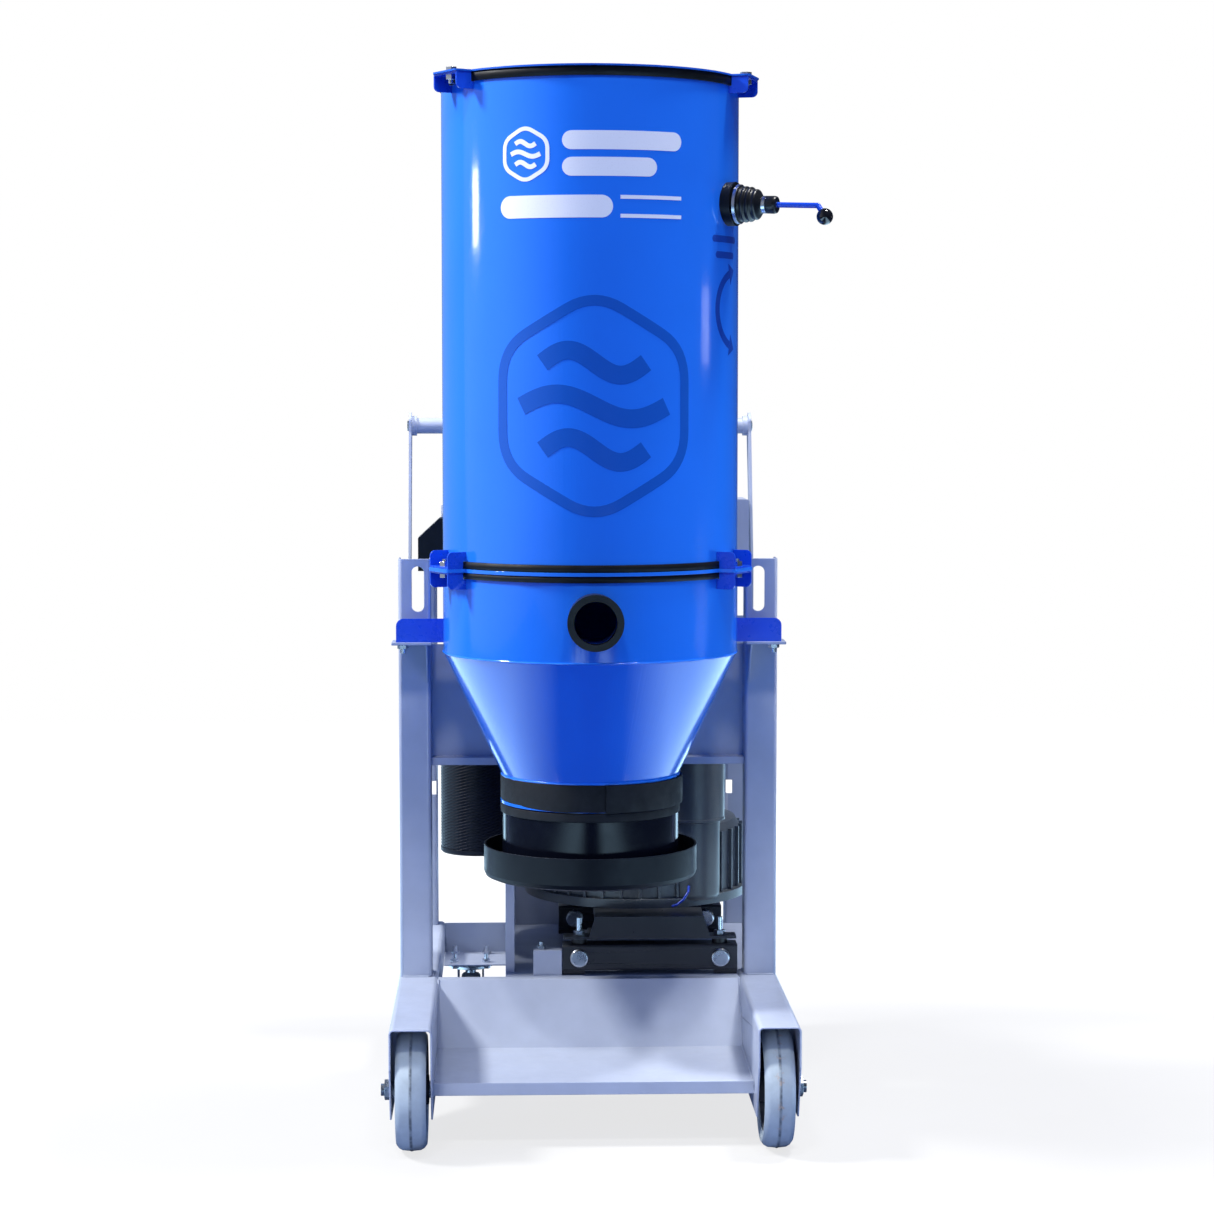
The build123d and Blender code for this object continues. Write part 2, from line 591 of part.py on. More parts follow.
def front_hub_right():
    return wheel_part([(AXLE_R + GAP, -28), (24, -28), (26, -12), (62, -9), (66, -21), (72, -21),
                       (72, 21), (66, 21), (62, 9), (26, 12), (24, 28), (AXLE_R + GAP, 28)])


def make_front_axles():
    def place(radius, start, end):
        return rod(radius, (start, WHEEL_Y, WHEEL_R), (end, WHEEL_Y, WHEEL_R))

    inner, outer = RAIL_IN + PLATE, RAIL_OUT - PLATE
    axle = place(AXLE_R, RAIL_IN, RAIL_OUT + 16)
    axle += place(14, inner, inner + 3.6) + place(14, outer - 3.6, outer)
    axle += Pos(RAIL_OUT, WHEEL_Y, WHEEL_R) * Rot(0, 90, 0) * hexagon(30, 10)
    return Compound([axle, mirrored(axle)])


# ---- casters --------------------------------------------------------------------------------------
def caster_bolt_places():
    """Where the bolts of both caster plates stand."""
    return [(side * CASTER_X + dx, CASTER_Y + dy) for side in (1, -1)
            for dx in (-CASTER_BOLT_X, CASTER_BOLT_X) for dy in (-CASTER_BOLT_Y, CASTER_BOLT_Y)]


def make_caster_plates():
    """Top plates with their raceway, kingpin and kingpin head."""
    plates = []
    for side in (1, -1):
        x = side * CASTER_X
        plate = block(x - 42, x + 42, CASTER_Y - 52, CASTER_Y + 52, CASTER_TOP - PLATE, CASTER_TOP)
        plate = fillet(plate.edges().filter_by(Axis.Z), 8)
        for bolt_x, bolt_y in caster_bolt_places():
            plate = drill(4.5, (bolt_x, bolt_y, 150), (bolt_x, bolt_y, 160), plate)
        raceway = ring(30, 10, 149, CASTER_TOP - PLATE, x, CASTER_Y)
        kingpin = rod(6, (x, CASTER_Y, 137), (x, CASTER_Y, CASTER_TOP))
        head = rod(10, (x, CASTER_Y, 133), (x, CASTER_Y, 138))
        plates.append(plate + raceway + kingpin + head)
    return Compound(plates)


def caster_fork_right():
    """Crown and two legs round the wheel, with the wheel's axle as a second solid."""
    x, y = CASTER_X, CASTER_Y
    crown = ring(36, 6 + GAP, 144, 148.5, x, y) - ring(10.5, 0.5, 130, 143, x, y)
    crown += block(x - 25, x + 25, y - 24, y + 32, 144, 147) - rod(6 + GAP, (x, y, 140), (x, y, 150))
    axle_y, axle_z = y + CASTER_TRAIL, CASTER_R
    leg = slab_yz([(y - 26, 147), (y + 50, 147), (y + 70, 136), (y + 70, 124), (axle_y + 15, 48),
                   (axle_y - 15, 48)], x + 22, x + 25)
    legs = leg + Pos(-47, 0, 0) * leg
    for bore_y, bore_z, radius in ((axle_y, axle_z, 6.0), (y + 60, 130, 3 + GAP)):
        legs = drill(radius, (x - 30, bore_y, bore_z), (x + 30, bore_y, bore_z), legs)
    axle = rod(6, (x - 29, axle_y, axle_z), (x + 29, axle_y, axle_z))
    for start, end in ((25, 31), (-31, -25)):
        axle += rod(10, (x + start, axle_y, axle_z), (x + end, axle_y, axle_z))
    return Compound([crown + legs, axle])


def caster_wheel_right():
    outline = [(6 + GAP, -20), (14, -20), (16, -8), (44, -8), (47, -16), (57, -18), (CASTER_R - 1.5, -14),
               (CASTER_R, -7), (CASTER_R, 7), (CASTER_R - 1.5, 14), (57, 18), (47, 16), (44, 8), (16, 8),
               (14, 20), (6 + GAP, 20)]
    return Pos(CASTER_X, CASTER_Y + CASTER_TRAIL, CASTER_R) * Rot(0, 90, 0) * spin(outline)


def caster_brake_right():
    """Foot pedal on a cross-pin between the fork's legs."""
    x, y = CASTER_X, CASTER_Y + 60
    pedal = block(x - 18, x + 18, y - 4, y + 52, 131, 134)
    pedal = fillet(pedal.edges().filter_by(Axis.Z).group_by(Axis.Y)[-1], 10)
    barrel = rod(4.5, (x - 18, y, 130), (x + 18, y, 130))
    pin = rod(3, (x - 27, y, 130), (x + 27, y, 130))
    return pedal + barrel + pin


# ---- blower ---------------------------------------------------------------------------------------
def make_blower_console():
    """Folded tray that carries the blower: deck, left cheek with a front flange, back wall."""
    left = -146.0
    deck = block(left, RAIL_IN, 116, 600, RAIL_TOP - PLATE, RAIL_TOP)
    cheek = block(left, left + PLATE, 150, 600, RAIL_TOP - 30, 390)
    flange = block(left, left + 16, 150, 150 + PLATE, RAIL_TOP - 30, 390)
    back = block(left, 262, 597, 600, RAIL_TOP - PLATE, 310)
    tab_x = -97.0
    bracket = block(tab_x, CHANNEL_LEFT - 1, 118, 121, RAIL_TOP, BRACKET_TOP)
    bracket += block(tab_x, CHANNEL_LEFT - 1, 118, 150, BRACKET_TOP - PLATE, BRACKET_TOP)
    bracket += block(tab_x, CHANNEL_LEFT - 1, 118, 150, RAIL_TOP, RAIL_TOP + PLATE)
    console = deck + cheek + flange + back + bracket
    return drill(4.5, (*BRACKET_BOLT, RAIL_TOP - 5), (*BRACKET_BOLT, BRACKET_TOP + 1), console)


def make_blower_channels():
    """Two channels across the deck, packed up on it by their own feet."""
    rails = []
    for y in CHANNEL_YS:
        rail = block(CHANNEL_LEFT, CHANNEL_RIGHT, y, y + CHANNEL_DEPTH, CHANNEL_BOTTOM, CHANNEL_TOP)
        rail = fillet(rail.edges().filter_by(Axis.X).group_by(Axis.Y)[0], 5)
        rail -= block(CHANNEL_LEFT - 1, CHANNEL_RIGHT + 1, y + 4, y + CHANNEL_DEPTH + 1,
                      CHANNEL_BOTTOM + 4, CHANNEL_TOP - 4)
        for x in (CHANNEL_LEFT, CHANNEL_RIGHT - 40):
            rail += block(x, x + 40, y + 8, y + CHANNEL_DEPTH, RAIL_TOP, CHANNEL_BOTTOM)
        for x in (STUD_LEFT, STUD_RIGHT):
            rail = drill(STUD_HOLE, (x, y + STUD_IN, 262), (x, y + STUD_IN, CHANNEL_TOP + 1), rail)
            rail = drill(8.2, (x, y - 1, PLUG_Z), (x, y + 5, PLUG_Z), rail)
        rails.append(rail)
    return Compound(rails)


def make_rubber_buffers():
    return Compound([ring(14, STUD_HOLE, CHANNEL_TOP, BUFFER_TOP, x, y + STUD_IN)
                     for y in CHANNEL_YS for x in (STUD_LEFT, STUD_RIGHT)])


def make_blower_feet():
    """Pressed feet under the blower: a tall middle block with low wings on the buffers."""
    feet = []
    for y in CHANNEL_YS:
        tall = slab_xz([(0, BUFFER_TOP), (12, BLOWER_BASE), (204, BLOWER_BASE), (216, BUFFER_TOP)], y, y + 90)
        tall -= block(-20, 240, y + 4, y + 100, FOOT_TOP, BLOWER_BASE - 4)
        wing = block(CHANNEL_LEFT + 2, CHANNEL_RIGHT - 2, y, y + CHANNEL_DEPTH, BUFFER_TOP, FOOT_TOP)
        for x in (STUD_LEFT, STUD_RIGHT):
            wing = drill(STUD_HOLE, (x, y + STUD_IN, BUFFER_TOP - 1), (x, y + STUD_IN, FOOT_TOP + 1), wing)
        feet.append(wing + tall)
    return Compound(feet)


def blower_fasteners():
    """Bracket bolts, studs with nuts through the buffers, and domed plugs in the channels' faces."""
    parts = [Pos(*BRACKET_BOLT, RAIL_TOP - PLATE) * bolt(8, 2 * PLATE, 6),
             Pos(*BRACKET_BOLT, BRACKET_TOP - PLATE) * bolt(8, PLATE, 6)]
    for y in CHANNEL_YS:
        for x in (STUD_LEFT, STUD_RIGHT):
            stud_y, nut = y + STUD_IN, hexagon(17, 8)
            under = CHANNEL_TOP - 4 - 8 - 1
            stud = rod(5, (x, stud_y, under), (x, stud_y, FOOT_TOP + 31))
            stud += Pos(x, stud_y, under) * nut
            stud += Pos(x, stud_y, FOOT_TOP) * nut
            parts.append(stud)
            dome = rod(16.5, (x, y - 6, PLUG_Z), (x, y, PLUG_Z))
            dome = fillet(dome.edges().group_by(Axis.Y)[0], 4)
            parts.append(dome + rod(8, (x, y, PLUG_Z), (x, y + 12, PLUG_Z)))
    return parts


def towards_exhaust(distance):
    """Point on the line from the blower's axis to the exhaust silencer, at the port's height."""
    dx, dy = EXHAUST_X - BLOWER_X, EXHAUST_Y - BLOWER_Y
    share = distance / hypot(dx, dy)
    return BLOWER_X + dx * share, BLOWER_Y + dy * share, EXHAUST_PORT_Z


def make_blower_housing():
    """Side-channel housing: ribbed ring on a flange, suction tower and exhaust spigot."""
    x, y = BLOWER_X, BLOWER_Y
    rim = BLOWER_BASE + 16
    body = spin([(0, BLOWER_BASE), (205, BLOWER_BASE), (205, rim), (BLOWER_R, rim), (BLOWER_R, 446),
                 (184, 460), (168, 467), (140, BLOWER_TOP), (0, BLOWER_TOP)], x, y)
    rib = block(188, 199, -2, 2, rim, 448)
    body += [Pos(x, y, 0) * Rot(0, 0, 10 * step) * rib for step in range(36)]
    tower = Pos(SILENCER_X, SILENCER_Y, (330 + SILENCER_BASE) / 2) * Cylinder(52, SILENCER_BASE - 330)
    body += fillet(tower.edges().group_by(Axis.Z)[0], 10)
    body += rod(EXHAUST_PORT_R, towards_exhaust(165), towards_exhaust(226))
    body -= rod(EXHAUST_PORT_R - 4, towards_exhaust(150), towards_exhaust(227))
    body -= rod(176, (x, y, 345), (x, y, 452))
    return body - rod(SHAFT_R + 2, (x, y, 440), (x, y, BLOWER_TOP + 1))


def make_blower_impeller():
    x, y = BLOWER_X, BLOWER_Y
    wheel = ring(150, SHAFT_R, 388, 400, x, y)
    blade = block(148, 171, -1.5, 1.5, 376, 412)
    hub = ring(28, SHAFT_R, 376, 420, x, y)
    return wheel + hub + [Pos(x, y, 0) * Rot(0, 0, 360 / 32 * step) * blade for step in range(32)]


def make_motor_body():
    x, y = BLOWER_X, BLOWER_Y
    shell = ring(88, 62, 486, 690, x, y)
    shields = ring(98, BEARING_R + GAP, BLOWER_TOP, 488, x, y)
    shields += ring(92, BEARING_R + GAP, 688, MOTOR_TOP, x, y)
    fin = block(86, 100, -1.5, 1.5, 488, 688)
    fins = [Pos(x, y, 0) * Rot(0, 0, 12 * step) * fin for step in range(30)]
    return shell + shields + fins


def make_motor_rotor():
    x, y = BLOWER_X, BLOWER_Y
    shaft = rod(SHAFT_R, (x, y, 372), (x, y, 738))
    journals = rod(BEARING_R, (x, y, BLOWER_TOP), (x, y, MOTOR_TOP))
    core = rod(58, (x, y, 510), (x, y, 660))
    return shaft + journals + core


def make_motor_fan():
    x, y = BLOWER_X, BLOWER_Y
    blade = block(20, 80, -1.2, 1.2, 708, 728)
    blades = [Pos(x, y, 0) * Rot(0, 0, 45 * step) * blade for step in range(8)]
    return ring(22, SHAFT_R, 706, 730, x, y) + blades


def make_fan_cover():
    x, y = BLOWER_X, BLOWER_Y
    cover = spin([(90, MOTOR_TOP), (94, MOTOR_TOP), (94, 742), (86, 750), (0, 750), (0, 747),
                  (84, 747), (90, 741)], x, y)
    slots = [Pos(x, y, 745) * Rot(0, 0, 30 * step) * Pos(45, 0, 0) * Box(44, 7, 20) for step in range(12)]
    return cover - slots


def make_terminal_box():
    x, y = BLOWER_X, BLOWER_Y + 100
    box = block(x - 42, x + 42, y, y + 46, 560, 650)
    return fillet(box.edges().filter_by(Axis.Y), 8)


def make_suction_silencer():
    """Suction silencer on the blower's tower, with a spout for the hose."""
    base, top, spout = SILENCER_BASE, SILENCER_TOP, HOSE_R - HOSE_WALL - 0.2
    outside = [(30, base), (54, base), (SILENCER_R + 1, base + 3), (SILENCER_R + 1, base + 6),
               (SILENCER_R, base + 8), (SILENCER_R, top - 8), (SILENCER_R - 8, top), (spout, top),
               (spout, top + 30)]
    inside = [(spout - 3, top + 30), (spout - 3, top - 3), (SILENCER_R - 9, top - 3),
              (SILENCER_R - 3, top - 9), (SILENCER_R - 3, base + 9), (30, base + 9)]
    return spin(outside + inside, SILENCER_X, SILENCER_Y)


def make_exhaust_silencer():
    """Upright canister with capped ends, a side sleeve on the blower's spigot and a hanging tab."""
    x, y, low, top = EXHAUST_X, EXHAUST_Y, EXHAUST_BOTTOM, EXHAUST_TOP
    cap, wall, apart = EXHAUST_R + 1.5, 6.0, hypot(EXHAUST_X - BLOWER_X, EXHAUST_Y - BLOWER_Y)
    canister = spin([(0, low), (cap - 3, low), (cap, low + 3), (cap, low + 9), (EXHAUST_R, low + 9),
                     (EXHAUST_R, top - 9), (cap, top - 9), (cap, top), (0, top)], x, y)
    sleeve = rod(EXHAUST_PORT_R + 4, towards_exhaust(apart - 60), towards_exhaust(apart - 104))
    hollow = rod(EXHAUST_R - wall, (x, y, low + wall), (x, y, top - wall))
    bore = rod(EXHAUST_PORT_R + 0.2, towards_exhaust(apart - 40), towards_exhaust(apart - 105))
    rear = COLUMN_FRONT + COLUMN_DEPTH
    tongue = block(x - 15, x + 15, rear + 0.1, y - EXHAUST_R + 12, top - 4, top)
    tongue += block(x - 15, x + 15, rear + 0.1, rear + 4, top - 4, top + 30)
    return canister + sleeve - hollow - bore + tongue


def hose_path():
    """From the drum's spigot outwards and down to the suction silencer."""
    out_x, out_y = cos(radians(SUCTION_AZIMUTH)), sin(radians(SUCTION_AZIMUTH))
    start = DRUM_R + 4
    points = [
        (start * out_x, start * out_y, SUCTION_Z),
        (SILENCER_X, SILENCER_Y, SUCTION_Z),
        (SILENCER_X, SILENCER_Y, SILENCER_TOP + 2),
    ]
    return FilletPolyline(*points, radius=HOSE_BEND)


def make_suction_hose():
    path = hose_path()
    section = Plane(origin=path @ 0, z_dir=path % 0)
    outer = sweep(section * Circle(HOSE_R), path=path)
    return outer - sweep(section * Circle(HOSE_R - HOSE_WALL), path=path)


# ---- control box ------------------------------------------------------------------------------------
def make_control_box():
    shell = block(BOX_LEFT, BOX_RIGHT, BOX_FRONT, BOX_REAR, BOX_BOTTOM, BOX_TOP)
    shell = fillet(shell.edges().filter_by(Axis.Y), 4)
    shell -= block(BOX_LEFT + BOX_SHEET, BOX_RIGHT - BOX_SHEET, BOX_FRONT + BOX_SHEET, BOX_REAR + PROUD,
                   BOX_BOTTOM + BOX_SHEET, BOX_TOP - BOX_SHEET)
    for z in HINGE_ZS:
        lug_part = rod(5, (HINGE_X, HINGE_Y, z), (HINGE_X, HINGE_Y, z + 8))
        lug_part += block(HINGE_X - 4, HINGE_X + 2, BOX_REAR - 20, HINGE_Y, z, z + 8)
        shell += lug_part - rod(3 + GAP, (HINGE_X, HINGE_Y, z - 1), (HINGE_X, HINGE_Y, z + 9))
    return shell


def make_box_door():
    door = block(BOX_LEFT + 6, BOX_RIGHT - 2, DOOR_Y0, DOOR_Y1, BOX_BOTTOM + 3, BOX_TOP - 3)
    door = fillet(door.edges().filter_by(Axis.Y), 4)
    for z in HINGE_ZS:
        knuckle = rod(5, (HINGE_X, HINGE_Y, z + 8.5), (HINGE_X, HINGE_Y, z + 26))
        knuckle += rod(3, (HINGE_X, HINGE_Y, z - 2), (HINGE_X, HINGE_Y, z + 10))
        knuckle += block(HINGE_X, BOX_LEFT + 20, HINGE_Y - 2, HINGE_Y + 1, z + 8.5, z + 26)
        knuckle += block(BOX_LEFT + 10, BOX_LEFT + 20, DOOR_Y0 + 1, HINGE_Y + 1, z + 8.5, z + 26)
        door += knuckle
    for (x, z), radius in ((KNOB_PLACE, 6.0), (STOP_PLACE, 11.0)):
        door = drill(radius + GAP, (x, DOOR_Y0 - 1, z), (x, DOOR_Y1 + 1, z), door)
    return door


def make_isolator_knob():
    x, z = KNOB_PLACE
    dial = rod(28, (x, DOOR_Y1 + 0.5, z), (x, DOOR_Y1 + 8, z))
    grip = block(x - 7, x + 7, DOOR_Y1 + 7, DOOR_Y1 + 26, z - 24, z + 24)
    grip = fillet(grip.edges().filter_by(Axis.Y), 5)
    return dial + grip + rod(6, (x, DOOR_Y0 - 16, z), (x, DOOR_Y1 + 2, z))


def make_stop_button():
    x, z = STOP_PLACE
    cap = rod(20, (x, DOOR_Y1 + 8, z), (x, DOOR_Y1 + 22, z))
    cap = fillet(cap.edges().group_by(Axis.Y)[-1], 6)
    return cap + rod(11, (x, DOOR_Y0 - 20, z), (x, DOOR_Y1 + 9, z))


def make_power_inlet():
    """Plug inlet in a moulded housing on the box's left end."""
    left, right = -310.0, BOX_LEFT
    low, high = BOX_BOTTOM + 6, 1005.0
    body = slab_xz([(left, low), (right, low), (right, high), (left + 40, high), (left, high - 37)],
                   BOX_FRONT + 10, BOX_FRONT + 80)
    socket = (left + 24, low + 38)
    body += rod(21, (socket[0], BOX_FRONT + 78, socket[1]), (socket[0], BOX_FRONT + 118, socket[1]))
    body -= rod(18, (socket[0], BOX_FRONT + 92, socket[1]), (socket[0], BOX_FRONT + 119, socket[1]))
    for step in range(4):
        angle = pi / 2 * step
        pin_x, pin_z = socket[0] + 9 * cos(angle), socket[1] + 9 * sin(angle)
        body += rod(2.5, (pin_x, BOX_FRONT + 91, pin_z), (pin_x, BOX_FRONT + 112, pin_z))
    return body


# ---- handle and general fasteners -----------------------------------------------------------------
def arm_right():
    """Flat arm bolted to the post, leaning back to the handle tube."""
    low, knee, boss = 700.0, 905.0, 27.0
    head = [(HANDLE_Y + 24, HANDLE_Z - 12), (HANDLE_Y + 24, HANDLE_Z + 14), (HANDLE_Y, HANDLE_Z + boss),
            (HANDLE_Y - 24, HANDLE_Z + 14), (HANDLE_Y - 24, HANDLE_Z - 12)]
    outline = [(604, low), (638, low), (640, knee), *head, (604, knee)]
    arm = slab_yz(outline, POST_OUT, POST_OUT + ARM, head, 9)
    for y, z in (*ARM_BOLTS, (HANDLE_Y, HANDLE_Z)):
        arm = drill(ARM_BOLT_HOLE, (POST_OUT - PROUD, y, z), (POST_OUT + ARM + PROUD, y, z), arm)
    return arm


def make_handle_arms():
    return Compound([arm_right(), mirrored(arm_right())])


def make_handle_tube():
    def along(radius, half):
        return rod(radius, (-half, HANDLE_Y, HANDLE_Z), (half, HANDLE_Y, HANDLE_Z))

    flares = along(HANDLE_R + 4, POST_OUT) - along(HANDLE_R + 5, POST_OUT - 10)
    return along(HANDLE_R, POST_OUT) + flares - along(HANDLE_R - 2.5, POST_OUT + PROUD)


def make_frame_bolts():
    """Bolts of the ears, the handle, the caster plates and the blower's buffers."""
    parts = blower_fasteners()
    for side in (1, -1):
        parts.append(Pos(side * EAR_BOLT[0], EAR_BOLT[1], SHELF_TOP + PLATE) * Rot(180, 0, 0)
                     * bolt(10, 8, 8))
        outwards = Rot(0, -90 * side, 0)
        for y, z in ARM_BOLTS:
            parts.append(Pos(side * (POST_OUT + ARM), y, z) * outwards * bolt(10, ARM + PLATE, 3))
        end = Pos(side * (POST_OUT + ARM), HANDLE_Y, HANDLE_Z) * outwards
        parts.append(end * (Pos(0, 0, -3.5) * hexagon(17, 3.5) + Pos(0, 0, 15) * Cylinder(5, 30)))
    for x, y in caster_bolt_places():
        parts.append(Pos(x, y, CASTER_TOP - PLATE) * bolt(8, 2 * PLATE, 10))
    return Compound(parts)


# ---- build and write ----------------------------------------------------------------------------------
PARTS = {
    "lid": make_lid(),
    "drum_gaskets": make_drum_gaskets(),
    "filter_drum": make_filter_drum(),
    "separator_plate": make_separator_plate(),
    "hopper": make_hopper(),
    "inlet_collar": make_inlet_collar(),
    "clamp_lugs": make_clamp_lugs(),
    "clamp_bolts": make_clamp_bolts(),
    "filter_bag": make_filter_bag(),
    "filter_hanger": make_filter_hanger(),
    "shaker_flange": make_shaker_flange(),
    "shaker_lever": make_shaker_lever(),
    "lever_knob": make_lever_knob(),
    "shaker_boot": make_shaker_boot(),
    "boot_base_clamp": make_boot_base_clamp(),
    "boot_neck_clamp": make_boot_neck_clamp(),
    "outlet_strap": make_outlet_strap(),
    "bag_tube": make_bag_tube(),
    "bag_tray": make_bag_tray(),
    "discharge_flap": make_discharge_flap(),
    "support_ears": make_support_ears(),
    "front_columns": make_front_columns(),
    "cross_members": make_cross_members(),
    "side_rails": make_side_rails(),
    "front_tray": make_front_tray(),
    "rear_posts": make_rear_posts(),
    "front_tyre_left": mirrored(front_tyre_right()),
    "front_tyre_right": front_tyre_right(),
    "front_hub_left": mirrored(front_hub_right()),
    "front_hub_right": front_hub_right(),
    "front_axles": make_front_axles(),
    "caster_plates": make_caster_plates(),
    "caster_fork_left": mirrored(caster_fork_right()),
    "caster_fork_right": caster_fork_right(),
    "caster_wheel_left": mirrored(caster_wheel_right()),
    "caster_wheel_right": caster_wheel_right(),
    "caster_brake_left": mirrored(caster_brake_right()),
    "caster_brake_right": caster_brake_right(),
    "blower_console": make_blower_console(),
    "blower_channels": make_blower_channels(),
    "blower_feet": make_blower_feet(),
    "rubber_buffers": make_rubber_buffers(),
    "blower_housing": make_blower_housing(),
    "blower_impeller": make_blower_impeller(),
    "motor_body": make_motor_body(),
    "motor_rotor": make_motor_rotor(),
    "motor_fan": make_motor_fan(),
    "fan_cover": make_fan_cover(),
    "terminal_box": make_terminal_box(),
    "suction_silencer": make_suction_silencer(),
    "exhaust_silencer": make_exhaust_silencer(),
    "suction_hose": make_suction_hose(),
    "control_box": make_control_box(),
    "box_door": make_box_door(),
    "isolator_knob": make_isolator_knob(),
    "stop_button": make_stop_button(),
    "power_inlet": make_power_inlet(),
    "handle_arms": make_handle_arms(),
    "handle_tube": make_handle_tube(),
    "frame_bolts": make_frame_bolts(),
}

os.makedirs("parts", exist_ok=True)
for name, shape in PARTS.items():
    export_step(shape, f"parts/{name}.step")
print(len(PARTS), "parts written")
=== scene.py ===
import json
import math

import bmesh
import bpy
from mathutils import Matrix, Vector, noise


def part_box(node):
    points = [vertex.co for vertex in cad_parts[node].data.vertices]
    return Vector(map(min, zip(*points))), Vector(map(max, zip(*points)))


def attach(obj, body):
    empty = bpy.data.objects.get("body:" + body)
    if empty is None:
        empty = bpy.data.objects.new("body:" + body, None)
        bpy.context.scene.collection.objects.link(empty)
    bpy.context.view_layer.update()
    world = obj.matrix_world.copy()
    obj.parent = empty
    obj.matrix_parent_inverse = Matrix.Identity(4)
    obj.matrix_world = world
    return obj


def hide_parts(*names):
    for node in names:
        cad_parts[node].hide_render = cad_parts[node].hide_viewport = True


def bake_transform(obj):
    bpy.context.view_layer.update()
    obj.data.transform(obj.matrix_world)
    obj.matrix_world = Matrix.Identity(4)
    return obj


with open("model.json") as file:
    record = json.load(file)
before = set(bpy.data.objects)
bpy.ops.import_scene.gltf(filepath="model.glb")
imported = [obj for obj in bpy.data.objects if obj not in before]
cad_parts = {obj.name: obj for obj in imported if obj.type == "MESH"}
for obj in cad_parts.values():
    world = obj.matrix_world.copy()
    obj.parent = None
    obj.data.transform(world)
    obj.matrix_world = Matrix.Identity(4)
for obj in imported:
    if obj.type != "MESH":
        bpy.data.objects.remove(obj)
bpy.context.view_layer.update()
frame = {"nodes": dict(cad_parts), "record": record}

# Looks of a dust collector: a blue filter drum and hopper on a grey wheeled frame.
# Metres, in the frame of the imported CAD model: +Z up, the dust inlet points along -Y.

# ---- places read from the frame ----------------------------------------------------------------
DRUM_LOW, DRUM_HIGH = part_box("filter_drum")
DRUM_R = DRUM_HIGH.x
LID_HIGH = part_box("lid")[1]
JOINT_LOW, JOINT_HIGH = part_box("separator_plate")
HOPPER_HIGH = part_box("hopper")[1]
HOSE_LOW, HOSE_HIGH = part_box("suction_hose")
MUFFLER_LOW, MUFFLER_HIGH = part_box("suction_silencer")
STRAP_LOW, STRAP_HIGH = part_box("outlet_strap")
BOX_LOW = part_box("control_box")[0]
FILTER_LOW, FILTER_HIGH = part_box("filter_bag")
LEVER_PIVOT = next(Vector(joint["pos_m"]) for joint in frame["record"]["behaviour"]["joints"]
                   if joint["name"] == "shaker_pivot")

# ---- sizes of the pieces made here -------------------------------------------------------------
CONE_TOP = 0.803            # where the hopper's straight wall meets its cone
CONE_BOTTOM = 0.593
OUTLET_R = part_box("bag_tube")[1].x
HOSE_R = 0.046
HOSE_BEND = 0.058
HOSE_RIB_PITCH = 0.0062
HOSE_RIB_DEPTH = 0.0030
EXHAUST_CAP_R = 0.0695      # end caps of the exhaust silencer
EXHAUST_Y = 0.264
EXHAUST_BASE = 0.0096       # from the silencer's lowest point up to its sleeve
EXHAUST_NECK = 0.0396       # from the sleeve's top up to the silencer's highest point
TYRE_BORE_R = 0.072
TRAY_BEND_Y = 0.010         # where the front tray folds from its floor into its slope
COLUMN_FRONT_Y = 0.1142     # front faces of the columns
RAIL_INSIDE_X = 0.2745
COLUMN_INSIDE_X = 0.280
DECAL_LIFT = 0.0004         # how far a printed film stands off the drum


# ---- mesh helpers --------------------------------------------------------------------------------
def piece(name, vertices, faces, material, slot, sharp_angle=38.0):
    """A new mesh object with smooth faces and sharp edges above the given angle."""
    mesh = bpy.data.meshes.new(name)
    mesh.from_pydata([tuple(vertex) for vertex in vertices], [], faces)
    mesh.validate()
    tidy = bmesh.new()
    tidy.from_mesh(mesh)
    bmesh.ops.remove_doubles(tidy, verts=tidy.verts, dist=1e-6)
    bmesh.ops.recalc_face_normals(tidy, faces=tidy.faces)
    tidy.to_mesh(mesh)
    tidy.free()
    mesh.polygons.foreach_set("use_smooth", [True] * len(mesh.polygons))
    mesh.set_sharp_from_angle(angle=math.radians(sharp_angle))
    mesh.materials.append(material)
    made = bpy.data.objects.new(name, mesh)
    bpy.context.scene.collection.objects.link(made)
    return made


def fixed_piece(name, shape, slot, sharp_angle=38.0, look=None, instead_of=None):
    """A new mesh object that stays on the base; it may stand in for a CAD node."""
    made = piece(name, *shape, look or LOOKS[slot], slot, sharp_angle)
    if instead_of:
        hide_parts(instead_of)
    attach(made, "base")


def grid_faces(rows, columns, close_rows=False, close_columns=False):
    """Quads over a grid of vertices numbered row by row."""
    faces = []
    for row in range(rows if close_rows else rows - 1):
        for column in range(columns if close_columns else columns - 1):
            next_row = (row + 1) % rows
            next_column = (column + 1) % columns
            faces.append((row * columns + column, row * columns + next_column,
                          next_row * columns + next_column, next_row * columns + column))
    return faces


def join(parts):
    """One vertex and face list from several."""
    vertices, faces = [], []
    for part_vertices, part_faces in parts:
        start = len(vertices)
        vertices += part_vertices
        faces += [tuple(start + index for index in face) for face in part_faces]
    return vertices, faces


def rounded(points, radius, steps=5, closed=True):
    """The outline with every corner rounded; points are (u, v)."""
    count = len(points)
    outline = []
    for index, point in enumerate(points):
        corner = Vector(point)
        if not closed and index in (0, count - 1):
            outline.append(corner)
            continue
        before = Vector(points[index - 1]) - corner
        after = Vector(points[(index + 1) % count]) - corner
        cut = min(radius, 0.45 * before.length, 0.45 * after.length)
        start = corner + before.normalized() * cut
        end = corner + after.normalized() * cut
        for step in range(steps + 1):
            share = step / steps
            outline.append(start * (1 - share) ** 2 + corner * 2 * share * (1 - share) + end * share ** 2)
    return outline


